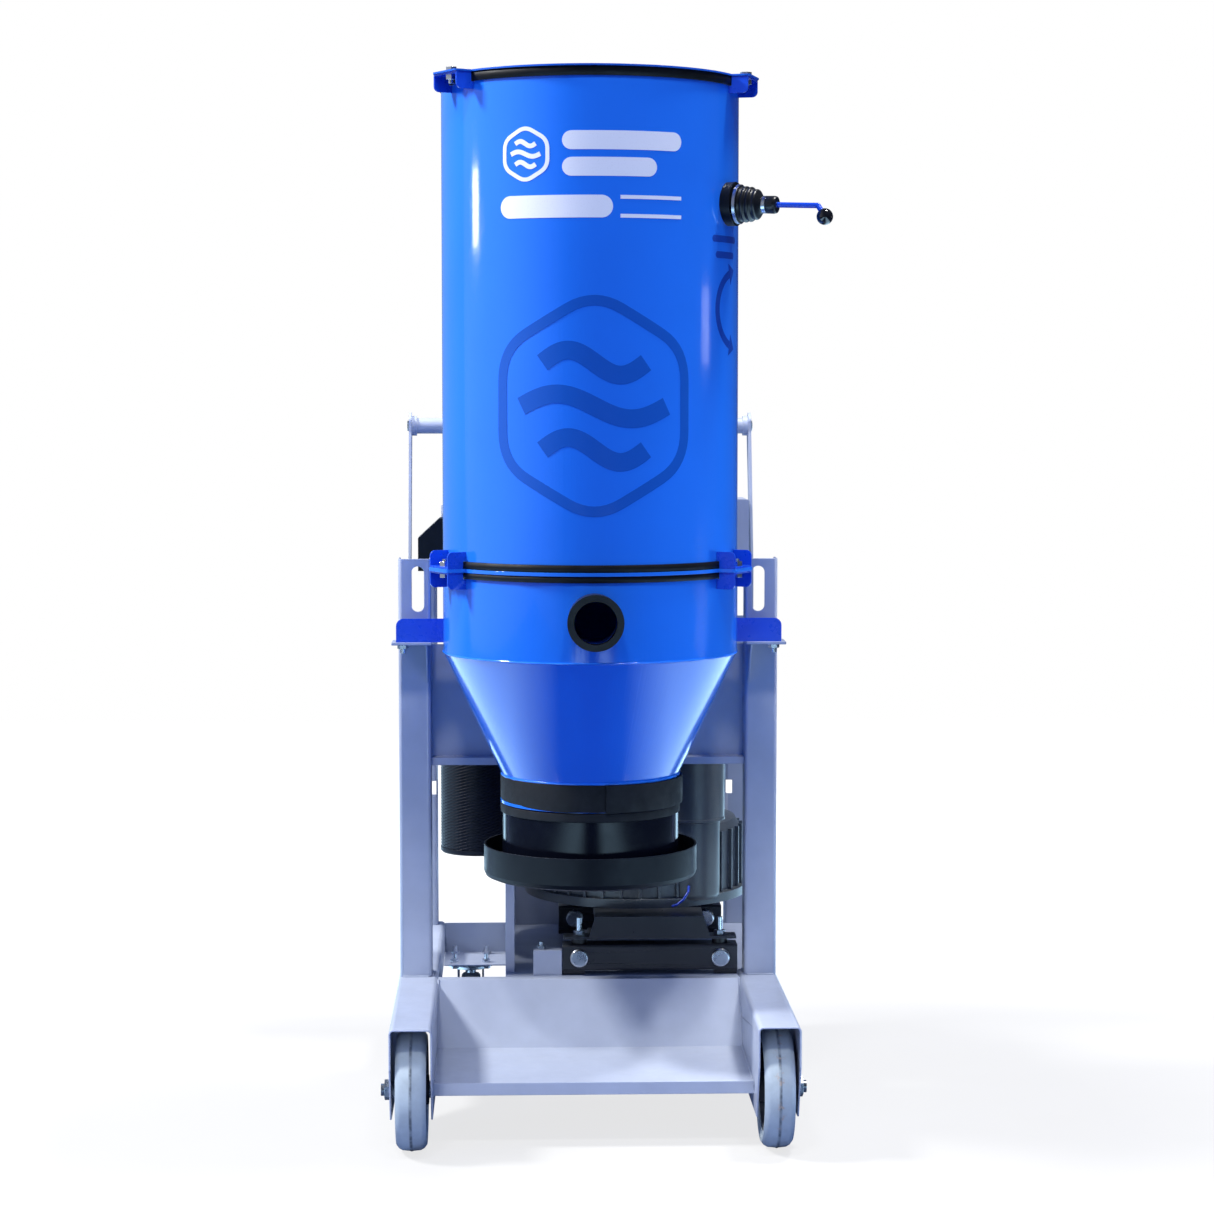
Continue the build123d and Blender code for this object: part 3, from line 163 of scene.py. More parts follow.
def axis_frame(direction):
    """Two directions at right angles to the given one."""
    direction = Vector(direction).normalized()
    helper = Vector((0, 0, 1)) if abs(direction.z) < 0.9 else Vector((1, 0, 0))
    first = direction.cross(helper).normalized()
    return first, direction.cross(first).normalized()


def lathe(outline, centre, axis, steps=96, ripple=None):
    """Closed outline of (radius, offset) turned about an axis; ripple(angle, offset) adds to the radius."""
    centre = Vector(centre)
    axis = Vector(axis).normalized()
    first, second = axis_frame(axis)
    vertices = []
    for step in range(steps):
        angle = 2 * math.pi * step / steps
        outward = first * math.cos(angle) + second * math.sin(angle)
        for radius, offset in outline:
            extra = ripple(angle, offset) if ripple else 0.0
            vertices.append(centre + axis * offset + outward * (radius + extra))
    return vertices, grid_faces(steps, len(outline), True, True)


def sweep(path, radius_at, sides=24, closed=False):
    """Tube along a path; radius_at(distance, angle) gives its radius. Open tubes get end caps."""
    path = [Vector(point) for point in path]
    count = len(path)
    tangents = []
    for index in range(count):
        ahead = path[(index + 1) % count] if closed or index < count - 1 else path[index]
        behind = path[index - 1] if closed or index > 0 else path[index]
        tangents.append((ahead - behind).normalized())
    across = axis_frame(tangents[0])[0]
    vertices = []
    distance = 0.0
    for index, point in enumerate(path):
        if index:
            distance += (point - path[index - 1]).length
        across = (across - tangents[index] * across.dot(tangents[index])).normalized()
        upward = tangents[index].cross(across)
        for side in range(sides):
            angle = 2 * math.pi * side / sides
            radius = radius_at(distance, angle)
            vertices.append(point + (across * math.cos(angle) + upward * math.sin(angle)) * radius)
    faces = grid_faces(count, sides, closed, True)
    if not closed:
        faces.append(tuple(range(sides)))
        faces.append(tuple(range((count - 1) * sides, count * sides)))
    return vertices, faces


def smooth_path(points, bend, spacing):
    """Polyline through the points with round bends, resampled at even spacing."""
    points = [Vector(point) for point in points]
    rough = [points[0]]
    for index in range(1, len(points) - 1):
        corner = points[index]
        into = (corner - points[index - 1]).normalized()
        out = (points[index + 1] - corner).normalized()
        half_turn = into.angle(out) / 2
        cut = bend * math.tan(half_turn)
        centre = corner + (out - into).normalized() * (bend / math.cos(half_turn))
        start = corner - into * cut - centre
        axis = start.cross(corner + out * cut - centre).normalized()
        for step in range(13):
            rough.append(centre + Matrix.Rotation(2 * half_turn * step / 12, 3, axis) @ start)
    rough.append(points[-1])
    return resample(rough, spacing)


def resample(points, spacing):
    """Points at even spacing along a polyline."""
    lengths = [(points[index + 1] - points[index]).length for index in range(len(points) - 1)]
    count = max(2, round(sum(lengths) / spacing) + 1)
    step = sum(lengths) / (count - 1)
    result = [points[0]]
    segment, passed = 0, 0.0
    for index in range(1, count - 1):
        target = step * index
        while passed + lengths[segment] < target and segment < len(lengths) - 1:
            passed += lengths[segment]
            segment += 1
        share = (target - passed) / max(lengths[segment], 1e-9)
        result.append(points[segment].lerp(points[segment + 1], share))
    result.append(points[-1])
    return result


def circle_points(radius, z, steps=180, centre=(0.0, 0.0)):
    """Level circle."""
    return [Vector((centre[0] + radius * math.cos(2 * math.pi * step / steps),
                    centre[1] + radius * math.sin(2 * math.pi * step / steps), z))
            for step in range(steps)]


def bead(path, size, closed=False, seed=0):
    """Weld bead: a thin tube with the small ripples of a hand-made seam."""
    def radius_at(distance, angle):
        ripple = 0.12 * math.sin(distance * 2 * math.pi / 0.0035)
        lump = 0.25 * noise.noise(Vector((distance * 60, seed, 0)))
        return size * (1 + ripple + lump)
    return sweep(path, radius_at, 8, closed)


# ---- shader helpers ------------------------------------------------------------------------------
def add(tree, kind, settings=None, **inputs):
    """A shader node; an input named Base_Color sets the socket Base Color, by value or by link."""
    made = tree.nodes.new(kind)
    for name, value in (settings or {}).items():
        setattr(made, name, value)
    for name, value in inputs.items():
        key = int(name[1:]) if name[0] == "i" and name[1:].isdigit() else name.replace("_", " ")
        socket = made.inputs[key]
        if isinstance(value, bpy.types.NodeSocket):
            tree.links.new(value, socket)
        else:
            socket.default_value = value
    return made


def math_node(tree, operation, first, second=0.0, clamp=False):
    """Output of one Math node."""
    made = add(tree, "ShaderNodeMath", {"operation": operation, "use_clamp": clamp}, i0=first, i1=second)
    return made.outputs[0]


def colour_mix(tree, share, first, second, blend="MIX"):
    """Output of one colour Mix node."""
    settings = {"data_type": "RGBA", "blend_type": blend}
    return add(tree, "ShaderNodeMix", settings, i0=share, i6=first, i7=second).outputs[2]


def noise_at(tree, place, scale, detail=3.0, roughness=0.5):
    """Noise between 0 and 1."""
    made = add(tree, "ShaderNodeTexNoise", Vector=place, Scale=scale, Detail=detail, Roughness=roughness)
    return made.outputs["Fac"]


def steps_between(tree, value, low, high):
    """Value remapped so that low becomes 0 and high becomes 1."""
    made = add(tree, "ShaderNodeMapRange", {"clamp": True}, Value=value, i1=low, i2=high)
    return made.outputs[0]


def rgb(red, green, blue):
    """Linear colour with full alpha."""
    return (red, green, blue, 1.0)


def new_material(name):
    """Empty material with its tree, its place in metres and its principled shader."""
    material = bpy.data.materials.new(name)
    material.use_nodes = True
    tree = material.node_tree
    tree.nodes.clear()
    place = tree.nodes.new("ShaderNodeTexCoord").outputs["Object"]
    shader = tree.nodes.new("ShaderNodeBsdfPrincipled")
    output = tree.nodes.new("ShaderNodeOutputMaterial")
    tree.links.new(shader.outputs[0], output.inputs[0])
    return material, tree, place, shader


def shade(colour, factor, lift=0.0):
    """The colour made lighter or darker by a factor."""
    return rgb(*[min(1.0, channel * factor + lift) for channel in colour])


def connect(tree, shader, tint, bump, roughness, coat=0.0):
    """Wire a colour and a bump node into the shader and set its roughness and clear coat."""
    tree.links.new(tint, shader.inputs["Base Color"])
    tree.links.new(bump.outputs[0], shader.inputs["Normal"])
    if isinstance(roughness, bpy.types.NodeSocket):
        tree.links.new(roughness, shader.inputs["Roughness"])
    else:
        shader.inputs["Roughness"].default_value = roughness
    shader.inputs["Coat Weight"].default_value = coat


def edge_share(tree, radius):
    """1 on edges, 0 on flat faces, and the normal rounded over the edges."""
    bevel = add(tree, "ShaderNodeBevel", {"samples": 4}, Radius=radius).outputs[0]
    geometry = tree.nodes.new("ShaderNodeNewGeometry")
    product = add(tree, "ShaderNodeVectorMath", {"operation": "DOT_PRODUCT"}, i0=bevel,
                  i1=geometry.outputs["Normal"])
    share = math_node(tree, "SUBTRACT", 1.0, product.outputs["Value"], True)
    return steps_between(tree, share, 0.02, 0.2), bevel


def surface(name, colour, roughness, metallic=0.0, grain=900.0, grain_depth=0.00004, mottle=0.08,
            coat=0.0, edge_radius=0.0006, edge_wear_and_highlight=None, specular=0.5, sheen=0.0, dust=0.0):
    """General finish: mottled colour, uneven gloss, fine grain, softened edges lightened in patches by wear
    and by a painted highlight, settled dust.
    """
    material, tree, place, shader = new_material(name)
    cloud = noise_at(tree, place, 14.0, 4.0, 0.6)
    darker, lighter = shade(colour, 1 - mottle * 2), shade(colour, 1 + mottle)
    tint = colour_mix(tree, steps_between(tree, cloud, 0.3, 0.7), darker, lighter)
    edges, soft_normal = edge_share(tree, edge_radius)
    # Lighter edges in patches: part wear, part painted highlight.
    if edge_wear_and_highlight:
        wear_and_highlight_patches = steps_between(tree, noise_at(tree, place, 160.0, 4.0, 0.7), 0.35, 0.65)
        tint = colour_mix(tree, math_node(tree, "MULTIPLY", edges, wear_and_highlight_patches), tint, rgb(*edge_wear_and_highlight))
    if dust:
        normal = tree.nodes.new("ShaderNodeNewGeometry").outputs["Normal"]
        up = add(tree, "ShaderNodeSeparateXYZ", Vector=normal)
        facing = steps_between(tree, up.outputs["Z"], 0.3, 1.0)
        patchy = steps_between(tree, noise_at(tree, place, 45.0, 5.0, 0.65), 0.4, 0.75)
        share = math_node(tree, "MULTIPLY", math_node(tree, "MULTIPLY", facing, patchy), dust)
        tint = colour_mix(tree, share, tint, rgb(0.42, 0.42, 0.41))
    rub = noise_at(tree, place, 38.0, 5.0, 0.65)
    gloss = add(tree, "ShaderNodeMapRange", Value=rub, i1=0.3, i2=0.7, i3=roughness * 0.82,
                i4=min(1.0, roughness * 1.22))
    fine = noise_at(tree, place, grain, 2.0)
    bump = add(tree, "ShaderNodeBump", Strength=1.0, Distance=grain_depth, Height=fine, Normal=soft_normal)
    connect(tree, shader, tint, bump, gloss.outputs[0], coat)
    shader.inputs["Metallic"].default_value = metallic
    shader.inputs["Specular IOR Level"].default_value = specular
    shader.inputs["Coat Roughness"].default_value = 0.06
    shader.inputs["Sheen Weight"].default_value = sheen
    return material


def rolled_sheet_paint(name, colour, gloss):
    """Sprayed gloss paint on rolled sheet: orange peel and faint upright drawing lines."""
    material, tree, place, shader = new_material(name)
    parts = add(tree, "ShaderNodeSeparateXYZ", Vector=place)
    azimuth = math_node(tree, "ARCTAN2", parts.outputs["Y"], parts.outputs["X"])
    lines_place = add(tree, "ShaderNodeCombineXYZ", X=math_node(tree, "MULTIPLY", azimuth, 40.0),
                      Z=math_node(tree, "MULTIPLY", parts.outputs["Z"], 0.9))
    lines = noise_at(tree, lines_place.outputs[0], 1.6, 3.0, 0.6)
    peel = noise_at(tree, place, 420.0, 1.5)
    strong_lines, weak_peel = math_node(tree, "MULTIPLY", lines, 0.9), math_node(tree, "MULTIPLY", peel, 0.12)
    height = math_node(tree, "ADD", strong_lines, weak_peel)
    edges, soft_normal = edge_share(tree, 0.0012)
    bump = add(tree, "ShaderNodeBump", Strength=0.55, Distance=0.00035, Height=height, Normal=soft_normal)
    cloud = steps_between(tree, noise_at(tree, place, 5.0, 3.0), 0.3, 0.7)
    tint = colour_mix(tree, cloud, shade(colour, 0.93), rgb(*colour))
    # Painted highlight: the edges turn a lighter blue than the flat paint.
    tint = colour_mix(tree, math_node(tree, "MULTIPLY", edges, 0.5), tint, shade(colour, 1.5, 0.02))
    smudge = noise_at(tree, place, 9.0, 5.0, 0.7)
    rough = add(tree, "ShaderNodeMapRange", Value=smudge, i1=0.35, i2=0.75, i3=gloss, i4=gloss * 1.5)
    connect(tree, shader, tint, bump, rough.outputs[0], 0.35)
    shader.inputs["Coat Roughness"].default_value = 0.03
    return material


def wheel_rubber(name, colour, centre_x, scuffed):
    """Solid grey tyre: a dark mould line round the middle of the tread and, if asked, scuff marks."""
    material, tree, place, shader = new_material(name)
    parts = add(tree, "ShaderNodeSeparateXYZ", Vector=place)
    across = math_node(tree, "ABSOLUTE", math_node(tree, "SUBTRACT", parts.outputs["X"], centre_x))
    line = steps_between(tree, across, 0.0034, 0.0012)
    wander = steps_between(tree, noise_at(tree, place, 60.0, 4.0, 0.7), 0.25, 0.6)
    cloud = noise_at(tree, place, 30.0, 5.0, 0.65)
    clouds = steps_between(tree, cloud, 0.3, 0.7)
    tint = colour_mix(tree, clouds, shade(colour, 0.84), shade(colour, 1.05))
    tint = colour_mix(tree, math_node(tree, "MULTIPLY", line, wander), tint, rgb(0.10, 0.12, 0.14))
    if scuffed:
        near_line = steps_between(tree, across, 0.011, 0.004)
        patches = steps_between(tree, noise_at(tree, place, 75.0, 6.0, 0.75), 0.56, 0.64)
        tint = colour_mix(tree, math_node(tree, "MULTIPLY", near_line, patches), tint, rgb(0.36, 0.30, 0.26))
    fine = noise_at(tree, place, 700.0, 3.0)
    bump = add(tree, "ShaderNodeBump", Strength=0.6, Distance=0.00012, Height=fine)
    connect(tree, shader, tint, bump, 0.42)
    return material


def caster_rubber(name):
    """Caster wheel: grey tread outside, darker moulded core inside, told apart by the radius."""
    material, tree, place, shader = new_material(name)
    low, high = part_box("caster_wheel_right")
    centre = (low + high) / 2
    parts = add(tree, "ShaderNodeSeparateXYZ", Vector=place)
    along = math_node(tree, "SUBTRACT", parts.outputs["Y"], centre.y)
    up = math_node(tree, "SUBTRACT", parts.outputs["Z"], centre.z)
    along_square, up_square = math_node(tree, "MULTIPLY", along, along), math_node(tree, "MULTIPLY", up, up)
    radius = math_node(tree, "SQRT", math_node(tree, "ADD", along_square, up_square))
    tread_share = steps_between(tree, radius, 0.0462, 0.0472)
    cloud = steps_between(tree, noise_at(tree, place, 70.0, 5.0, 0.65), 0.3, 0.7)
    tread = colour_mix(tree, cloud, rgb(0.16, 0.19, 0.22), rgb(0.24, 0.28, 0.33))
    core = colour_mix(tree, cloud, rgb(0.010, 0.011, 0.013), rgb(0.022, 0.024, 0.028))
    tint = colour_mix(tree, tread_share, core, tread)
    fine = noise_at(tree, place, 800.0, 3.0)
    bump = add(tree, "ShaderNodeBump", Strength=0.6, Distance=0.0001, Height=fine)
    connect(tree, shader, tint, bump, 0.45)
    return material


def filter_felt(name):
    """Needle felt: fuzzy fibres, pale grey with patchy darker dust."""
    material, tree, place, shader = new_material(name)
    fibres = noise_at(tree, place, 1400.0, 6.0, 0.8)
    cloud = steps_between(tree, noise_at(tree, place, 22.0, 5.0, 0.7), 0.3, 0.7)
    tint = colour_mix(tree, cloud, rgb(0.46, 0.45, 0.42), rgb(0.66, 0.65, 0.62))
    tint = colour_mix(tree, steps_between(tree, fibres, 0.4, 0.7), tint, rgb(0.74, 0.73, 0.71))
    bump = add(tree, "ShaderNodeBump", Strength=0.9, Distance=0.0004, Height=fibres)
    connect(tree, shader, tint, bump, 0.95)
    shader.inputs["Sheen Weight"].default_value = 0.5
    return material


def printed_film(name, colour, roughness):
    """Printed vinyl: an even ink layer with tiny flecks and a slight pebble."""
    material, tree, place, shader = new_material(name)
    flecks = steps_between(tree, noise_at(tree, place, 500.0, 4.0, 0.7), 0.25, 0.45)
    tint = colour_mix(tree, flecks, shade(colour, 0.88), rgb(*colour))
    grain = noise_at(tree, place, 900.0, 2.0)
    bump = add(tree, "ShaderNodeBump", Strength=0.3, Distance=0.00004, Height=grain)
    connect(tree, shader, tint, bump, roughness, 0.3)
    return material


# ---- materials by slot ---------------------------------------------------------------------------
BLUE = (0.018, 0.205, 0.90)
# Painted shade: the drum's blue made darker for the lid, whose flat top faces the lamps.
LID_SHADED_BLUE = (0.010, 0.115, 0.62)
BRACKET_BLUE = (0.006, 0.075, 0.66)
FRAME_GREY = (0.408, 0.456, 0.562)
TYRE_GREY = (0.38, 0.45, 0.50)

LOOKS = {
    "drum_paint": rolled_sheet_paint("look_drum_paint", BLUE, 0.08),
    "bracket_paint": surface("look_bracket_paint", BRACKET_BLUE, 0.28, coat=0.3, edge_radius=0.0010,
                             edge_wear_and_highlight=(0.03, 0.16, 0.85), grain=500.0, grain_depth=0.00006, mottle=0.015),
    "frame_paint": surface("look_frame_paint", FRAME_GREY, 0.34, edge_radius=0.0012,
                           edge_wear_and_highlight=(0.62, 0.66, 0.80), grain=620.0, grain_depth=0.00009, mottle=0.035,
                           coat=0.12, dust=0.10),
    "gasket_rubber": surface("look_gasket_rubber", (0.004, 0.005, 0.008), 0.50, grain=700.0,
                             grain_depth=0.00015, mottle=0.2, specular=0.2),
    "black_rubber": surface("look_black_rubber", (0.006, 0.007, 0.010), 0.33, grain=900.0, mottle=0.15,
                            dust=0.03),
    "strap_rubber": surface("look_strap_rubber", (0.014, 0.015, 0.018), 0.60, grain=520.0,
                            grain_depth=0.00022, mottle=0.2, dust=0.04, specular=0.2),
    "black_plastic": surface("look_black_plastic", (0.005, 0.007, 0.011), 0.38, grain=1100.0,
                             grain_depth=0.00005, mottle=0.1, edge_wear_and_highlight=(0.07, 0.09, 0.15), dust=0.04,
                             specular=0.2),
    "black_gloss": surface("look_black_gloss", (0.003, 0.004, 0.009), 0.16, grain=300.0, grain_depth=0.00005,
                           mottle=0.1, coat=0.12, specular=0.2),
    "knob_plastic": surface("look_knob_plastic", (0.006, 0.006, 0.009), 0.12, grain=700.0,
                            grain_depth=0.00001, mottle=0.1, coat=0.6),
    "hub_plastic": surface("look_hub_plastic", (0.035, 0.040, 0.055), 0.45, mottle=0.1, dust=0.2),
    "pedal_plastic": surface("look_pedal_plastic", (0.30, 0.012, 0.010), 0.45, mottle=0.1, dust=0.25),
    "fan_plastic": surface("look_fan_plastic", (0.030, 0.032, 0.036), 0.5, mottle=0.1, dust=0.3),
    "hose_plastic": surface("look_hose_plastic", (0.009, 0.010, 0.016), 0.34, grain=800.0, mottle=0.15,
                            dust=0.08),
    "switch_plastic": surface("look_switch_plastic", (0.018, 0.018, 0.021), 0.28, mottle=0.1),
    "stop_plastic": surface("look_stop_plastic", (0.55, 0.012, 0.010), 0.28, mottle=0.05, coat=0.3),
    "filter_felt": filter_felt("look_filter_felt"),
    "zinc": surface("look_zinc", (0.66, 0.70, 0.78), 0.27, metallic=1.0, grain=240.0, grain_depth=0.00005,
                    mottle=0.12, edge_radius=0.0005, edge_wear_and_highlight=(0.92, 0.94, 0.98)),
    "shaft_steel": surface("look_shaft_steel", (0.52, 0.53, 0.55), 0.22, metallic=1.0, grain=900.0,
                           mottle=0.08),
    "cast_aluminium": surface("look_cast_aluminium", (0.55, 0.56, 0.58), 0.45, metallic=0.9, grain=420.0,
                              grain_depth=0.0002, mottle=0.1),
    # Its light edge colour is a painted highlight along the housing's flange rims.
    "blower_paint": surface("look_blower_paint", (0.075, 0.092, 0.105), 0.34, grain=360.0,
                            grain_depth=0.00022, mottle=0.08, edge_radius=0.0012,
                            edge_wear_and_highlight=(0.38, 0.43, 0.52), dust=0.12),
    "black_paint": surface("look_black_paint", (0.018, 0.021, 0.028), 0.33, grain=520.0, mottle=0.1,
                           edge_radius=0.0010, edge_wear_and_highlight=(0.14, 0.20, 0.32), dust=0.06),
    "mesh_black": surface("look_mesh_black", (0.007, 0.009, 0.018), 0.42, grain=900.0, mottle=0.15, dust=0.03,
                          specular=0.2),
    "tyre_rubber": None,
    "caster_tread": caster_rubber("look_caster_tread"),
}
SHEET_PARTS = ("front_columns", "side_rails", "front_tray", "rear_posts", "cross_members", "clamp_lugs",
               "support_ears", "handle_arms", "blower_console", "blower_channels", "control_box")
# Painted shade: the lid's paint is the drum's paint darkened.
LID_SHADED_PAINT = surface("look_lid_shaded_paint", LID_SHADED_BLUE, 0.24, grain=500.0, grain_depth=0.00005, mottle=0.06,
                    coat=0.3, dust=0.05)
WHITE_FILM = printed_film("look_white_film", (0.92, 0.94, 0.98), 0.35)
DARK_FILM = printed_film("look_dark_film", (0.006, 0.105, 0.52), 0.22)
NOTE_FILM = printed_film("look_note_film", (0.005, 0.060, 0.40), 0.25)
EARTH_WIRE = surface("look_blue_wire", (0.010, 0.045, 0.42), 0.35, mottle=0.1)
CABLE_JACKET = surface("look_cable_jacket", (0.012, 0.012, 0.014), 0.5, mottle=0.15, dust=0.15)
WHEEL_X = sum(corner.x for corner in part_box("front_tyre_right")) / 2
TYRES = {"left": wheel_rubber("look_tyre_left", TYRE_GREY, -WHEEL_X, False),
         "right": wheel_rubber("look_tyre_right", TYRE_GREY, WHEEL_X, True)}


def dress_cad_nodes():
    """Every CAD node takes the look of its slot; the lid, which lies flat under the lamps, a darker copy of
    the drum's blue as painted shade.
    """
    for node in frame["nodes"].values():
        slot_name = node.data.materials[0].name
        if LOOKS.get(slot_name):
            node.data.materials[0] = LOOKS[slot_name]
    frame["nodes"]["lid"].data.materials[0] = LID_SHADED_PAINT


def soften_edges():
    """Small real rounds on the edges of the folded sheet and plate parts."""
    for name in SHEET_PARTS:
        node = frame["nodes"][name]
        weld = node.modifiers.new("weld", "WELD")
        weld.merge_threshold = 0.00001
        bevel = node.modifiers.new("edge_round", "BEVEL")
        bevel.width = 0.0009
        bevel.segments = 2
        bevel.limit_method = "ANGLE"
        bevel.angle_limit = math.radians(40)


# ---- drum details --------------------------------------------------------------------------------
def gasket_outline(inner, outer, low, high):
    """Section of a squeezed foam strip: flat inside, bulging outside."""
    section = [(inner, low), (inner, high)]
    for step in range(9):
        share = step / 8
        bulge = math.sin(math.pi * share)
        section.append((outer + 0.0022 * bulge, high + (low - high) * share))
    return section


def make_gaskets():
    """Foam gaskets of the lid and of the drum joint, unevenly squeezed."""
    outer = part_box("drum_gaskets")[1].x - 0.0012
    inner = outer - 0.010
    strips = ((DRUM_HIGH.z, LID_HIGH.z - 0.003), (JOINT_HIGH.z, DRUM_LOW.z), (HOPPER_HIGH.z, JOINT_LOW.z))

    def uneven(angle, offset):
        return 0.0007 * noise.noise(Vector((math.cos(angle) * 9, math.sin(angle) * 9, offset * 4)))

    parts = [lathe(gasket_outline(inner, outer, low, high), (0, 0, 0), (0, 0, 1), 240, uneven)
             for low, high in strips]
    fixed_piece("joint_gaskets", join(parts), "gasket_rubber", instead_of="drum_gaskets")


def make_drum_welds():
    """Weld beads of the hopper, of the spout and of the drum's rear seam, under the paint."""
    parts = [bead(circle_points(DRUM_R - 0.0004, CONE_TOP, 420), 0.0021, True, 1),
             bead(circle_points(OUTLET_R + 0.0002, CONE_BOTTOM + 0.0003, 300), 0.0024, True, 2)]
    rear = [Vector((0, DRUM_R - 0.0002, z)) for z in (DRUM_LOW.z + 0.002, DRUM_HIGH.z - 0.002)]
    parts.append(bead(resample(rear, 0.0015), 0.0016, False, 3))
    rear = [Vector((0, DRUM_R - 0.0002, z)) for z in (CONE_TOP + 0.002, HOPPER_HIGH.z - 0.002)]
    parts.append(bead(resample(rear, 0.0015), 0.0016, False, 4))
    fixed_piece("drum_welds", join(parts), "drum_paint", 80.0)


# ---- printed films -------------------------------------------------------------------------------
def wrap(across, z, lift):
    """Point on the drum, from the distance round it from the front line and the height."""
    radius = DRUM_R + lift
    angle = across / DRUM_R
    return Vector((radius * math.sin(angle), -radius * math.cos(angle), z))


def film_strip(path, width, closed=False, pointed=False):
    """Flat strip of film along a path of (across, z), wrapped on the drum, with a real thickness."""
    path = [Vector((point[0], point[1], 0)) for point in path]
    spaced = resample(path + [path[0]] if closed else path, 0.002)
    if closed:
        spaced = spaced[:-1]
    count = len(spaced)
    lanes = max(2, math.ceil(width / 0.005) + 1)
    layers = []
    for lift in (DECAL_LIFT, DECAL_LIFT / 4):
        layer = []
        for index, point in enumerate(spaced):
            ahead = spaced[(index + 1) % count] if closed or index < count - 1 else point
            behind = spaced[index - 1] if closed or index > 0 else point
            along = (ahead - behind).normalized()
            side = Vector((-along.y, along.x, 0))
            local_width = width * (1 - index / (count - 1)) if pointed else width
            for lane in range(lanes):
                offset = local_width * (lane / (lanes - 1) - 0.5)
                layer.append(wrap((point + side * offset).x, (point + side * offset).y, lift))
        layers.append(layer)
    vertices = layers[0] + layers[1]
    faces = grid_faces(count, lanes, closed)
    under = len(layers[0])
    faces += [tuple(under + index for index in reversed(face)) for face in grid_faces(count, lanes, closed)]
    border = film_border(count, lanes, closed)
    faces += [(first, second, second + under, first + under) for first, second in border]
    return vertices, faces


def film_border(count, lanes, closed):
    """Pairs of neighbouring border vertices of a strip."""
    border = []
    for lane in (0, lanes - 1):
        for index in range(count if closed else count - 1):
            border.append((index * lanes + lane, ((index + 1) % count) * lanes + lane))
    if not closed:
        for row in (0, count - 1):
            border += [(row * lanes + lane, row * lanes + lane + 1) for lane in range(lanes - 1)]
    return border


def film_bar(left, right, z, height):
    """Plain bar with round ends, in place of a line of lettering."""
    quarter = height / 4
    path = []
    for x, start in ((right - 2 * quarter, -90), (left + 2 * quarter, 90)):
        for step in range(13):
            angle = math.radians(start + 15 * step)
            path.append((x + quarter * math.cos(angle), z + quarter * math.sin(angle)))
    return film_strip(path, height / 2, True)


def hexagon_path(centre, radius, corner):
    """Rounded hexagon as a closed path of (across, z)."""
    corners = [(centre[0] + radius * math.cos(math.radians(60 * step + 30)),
                centre[1] + radius * math.sin(math.radians(60 * step + 30))) for step in range(6)]
    return [(point.x, point.y) for point in rounded(corners, corner, 8)]


def breeze(start, end, z, height):
    """Gentle wave from start to end."""
    steps = 40
    return [(start + (end - start) * step / steps, z + height * math.sin(2 * math.pi * step / steps))
            for step in range(steps + 1)]


def make_emblem():
    """Large tone-on-tone badge: a rounded hexagon round three air streams."""
    centre_z = DRUM_LOW.z + 0.256
    parts = [film_strip(hexagon_path((0, centre_z), 0.182, 0.05), 0.017, True)]
    for step, half in ((1, 0.085), (0, 0.122), (-1, 0.085)):
        parts.append(film_strip(breeze(-half, half, centre_z + step * 0.070, 0.020), 0.030))
    fixed_piece("badge_film", join(parts), "drum_paint", look=DARK_FILM)


def make_front_label():
    """White panel label: a small hexagon with air streams, and plain bars instead of lettering."""
    left, right = -0.160, 0.150
    top = DRUM_LOW.z + 0.707
    icon_z = top - 0.048
    icon_x = left + 0.046
    parts = [film_strip(hexagon_path((icon_x, icon_z), 0.044, 0.014), 0.0065, True)]
    for step, half in ((1, 0.018), (0, 0.026), (-1, 0.018)):
        parts.append(film_strip(breeze(icon_x - half, icon_x + half, icon_z + step * 0.0165, 0.004), 0.0075))
    for z, end in ((top - 0.027, right), (top - 0.069, right - 0.046)):
        parts.append(film_bar(left + 0.108, end, z, 0.030))
    low_z = top - 0.132
    parts.append(film_bar(left, left + 0.190, low_z, 0.036))
    for offset in (-0.015, 0.015):
        parts.append(film_strip([(left + 0.202, low_z + offset), (right, low_z + offset)], 0.006))
    fixed_piece("front_label_film", join(parts), "drum_paint", look=WHITE_FILM)


def make_shaker_note():
    """Operating note under the shaker lever: plain bars and a curved arrow for up and down."""
    middle = DRUM_R * math.radians(62.0)
    top = DRUM_LOW.z + 0.530
    parts = [film_bar(middle - half, middle + half, z, 0.011)
             for z, half in ((top, 0.046), (top - 0.026, 0.036))]
    centre, bend = (middle + 0.03, top - 0.115), 0.060
    angles = [math.radians(angle) for angle in range(-75, 76, 5)]
    turn = [(centre[0] - bend * math.cos(angle), centre[1] + bend * math.sin(angle)) for angle in angles]
    parts.append(film_strip(turn, 0.013))
    for end, before in ((turn[0], turn[1]), (turn[-1], turn[-2])):
        base = Vector(end)
        along = (base - Vector(before)).normalized()
        parts.append(film_strip([base + along * 0.001, base + along * 0.024], 0.036, pointed=True))
    fixed_piece("lever_note_film", join(parts), "drum_paint", look=NOTE_FILM)


# ---- hose, boot, strap, filter -------------------------------------------------------------------
def hose_points():
    """The hose's corners: off the drum's rear spigot, out and straight down onto the silencer."""
    muffler = (MUFFLER_LOW + MUFFLER_HIGH) / 2
    out = Vector((muffler.x, muffler.y, 0)).normalized()
    top = HOSE_HIGH.z - HOSE_R
    start = out * (DRUM_R + 0.005)
    return [(start.x, start.y, top), (muffler.x, muffler.y, top), (muffler.x, muffler.y, HOSE_LOW.z + 0.0005)]


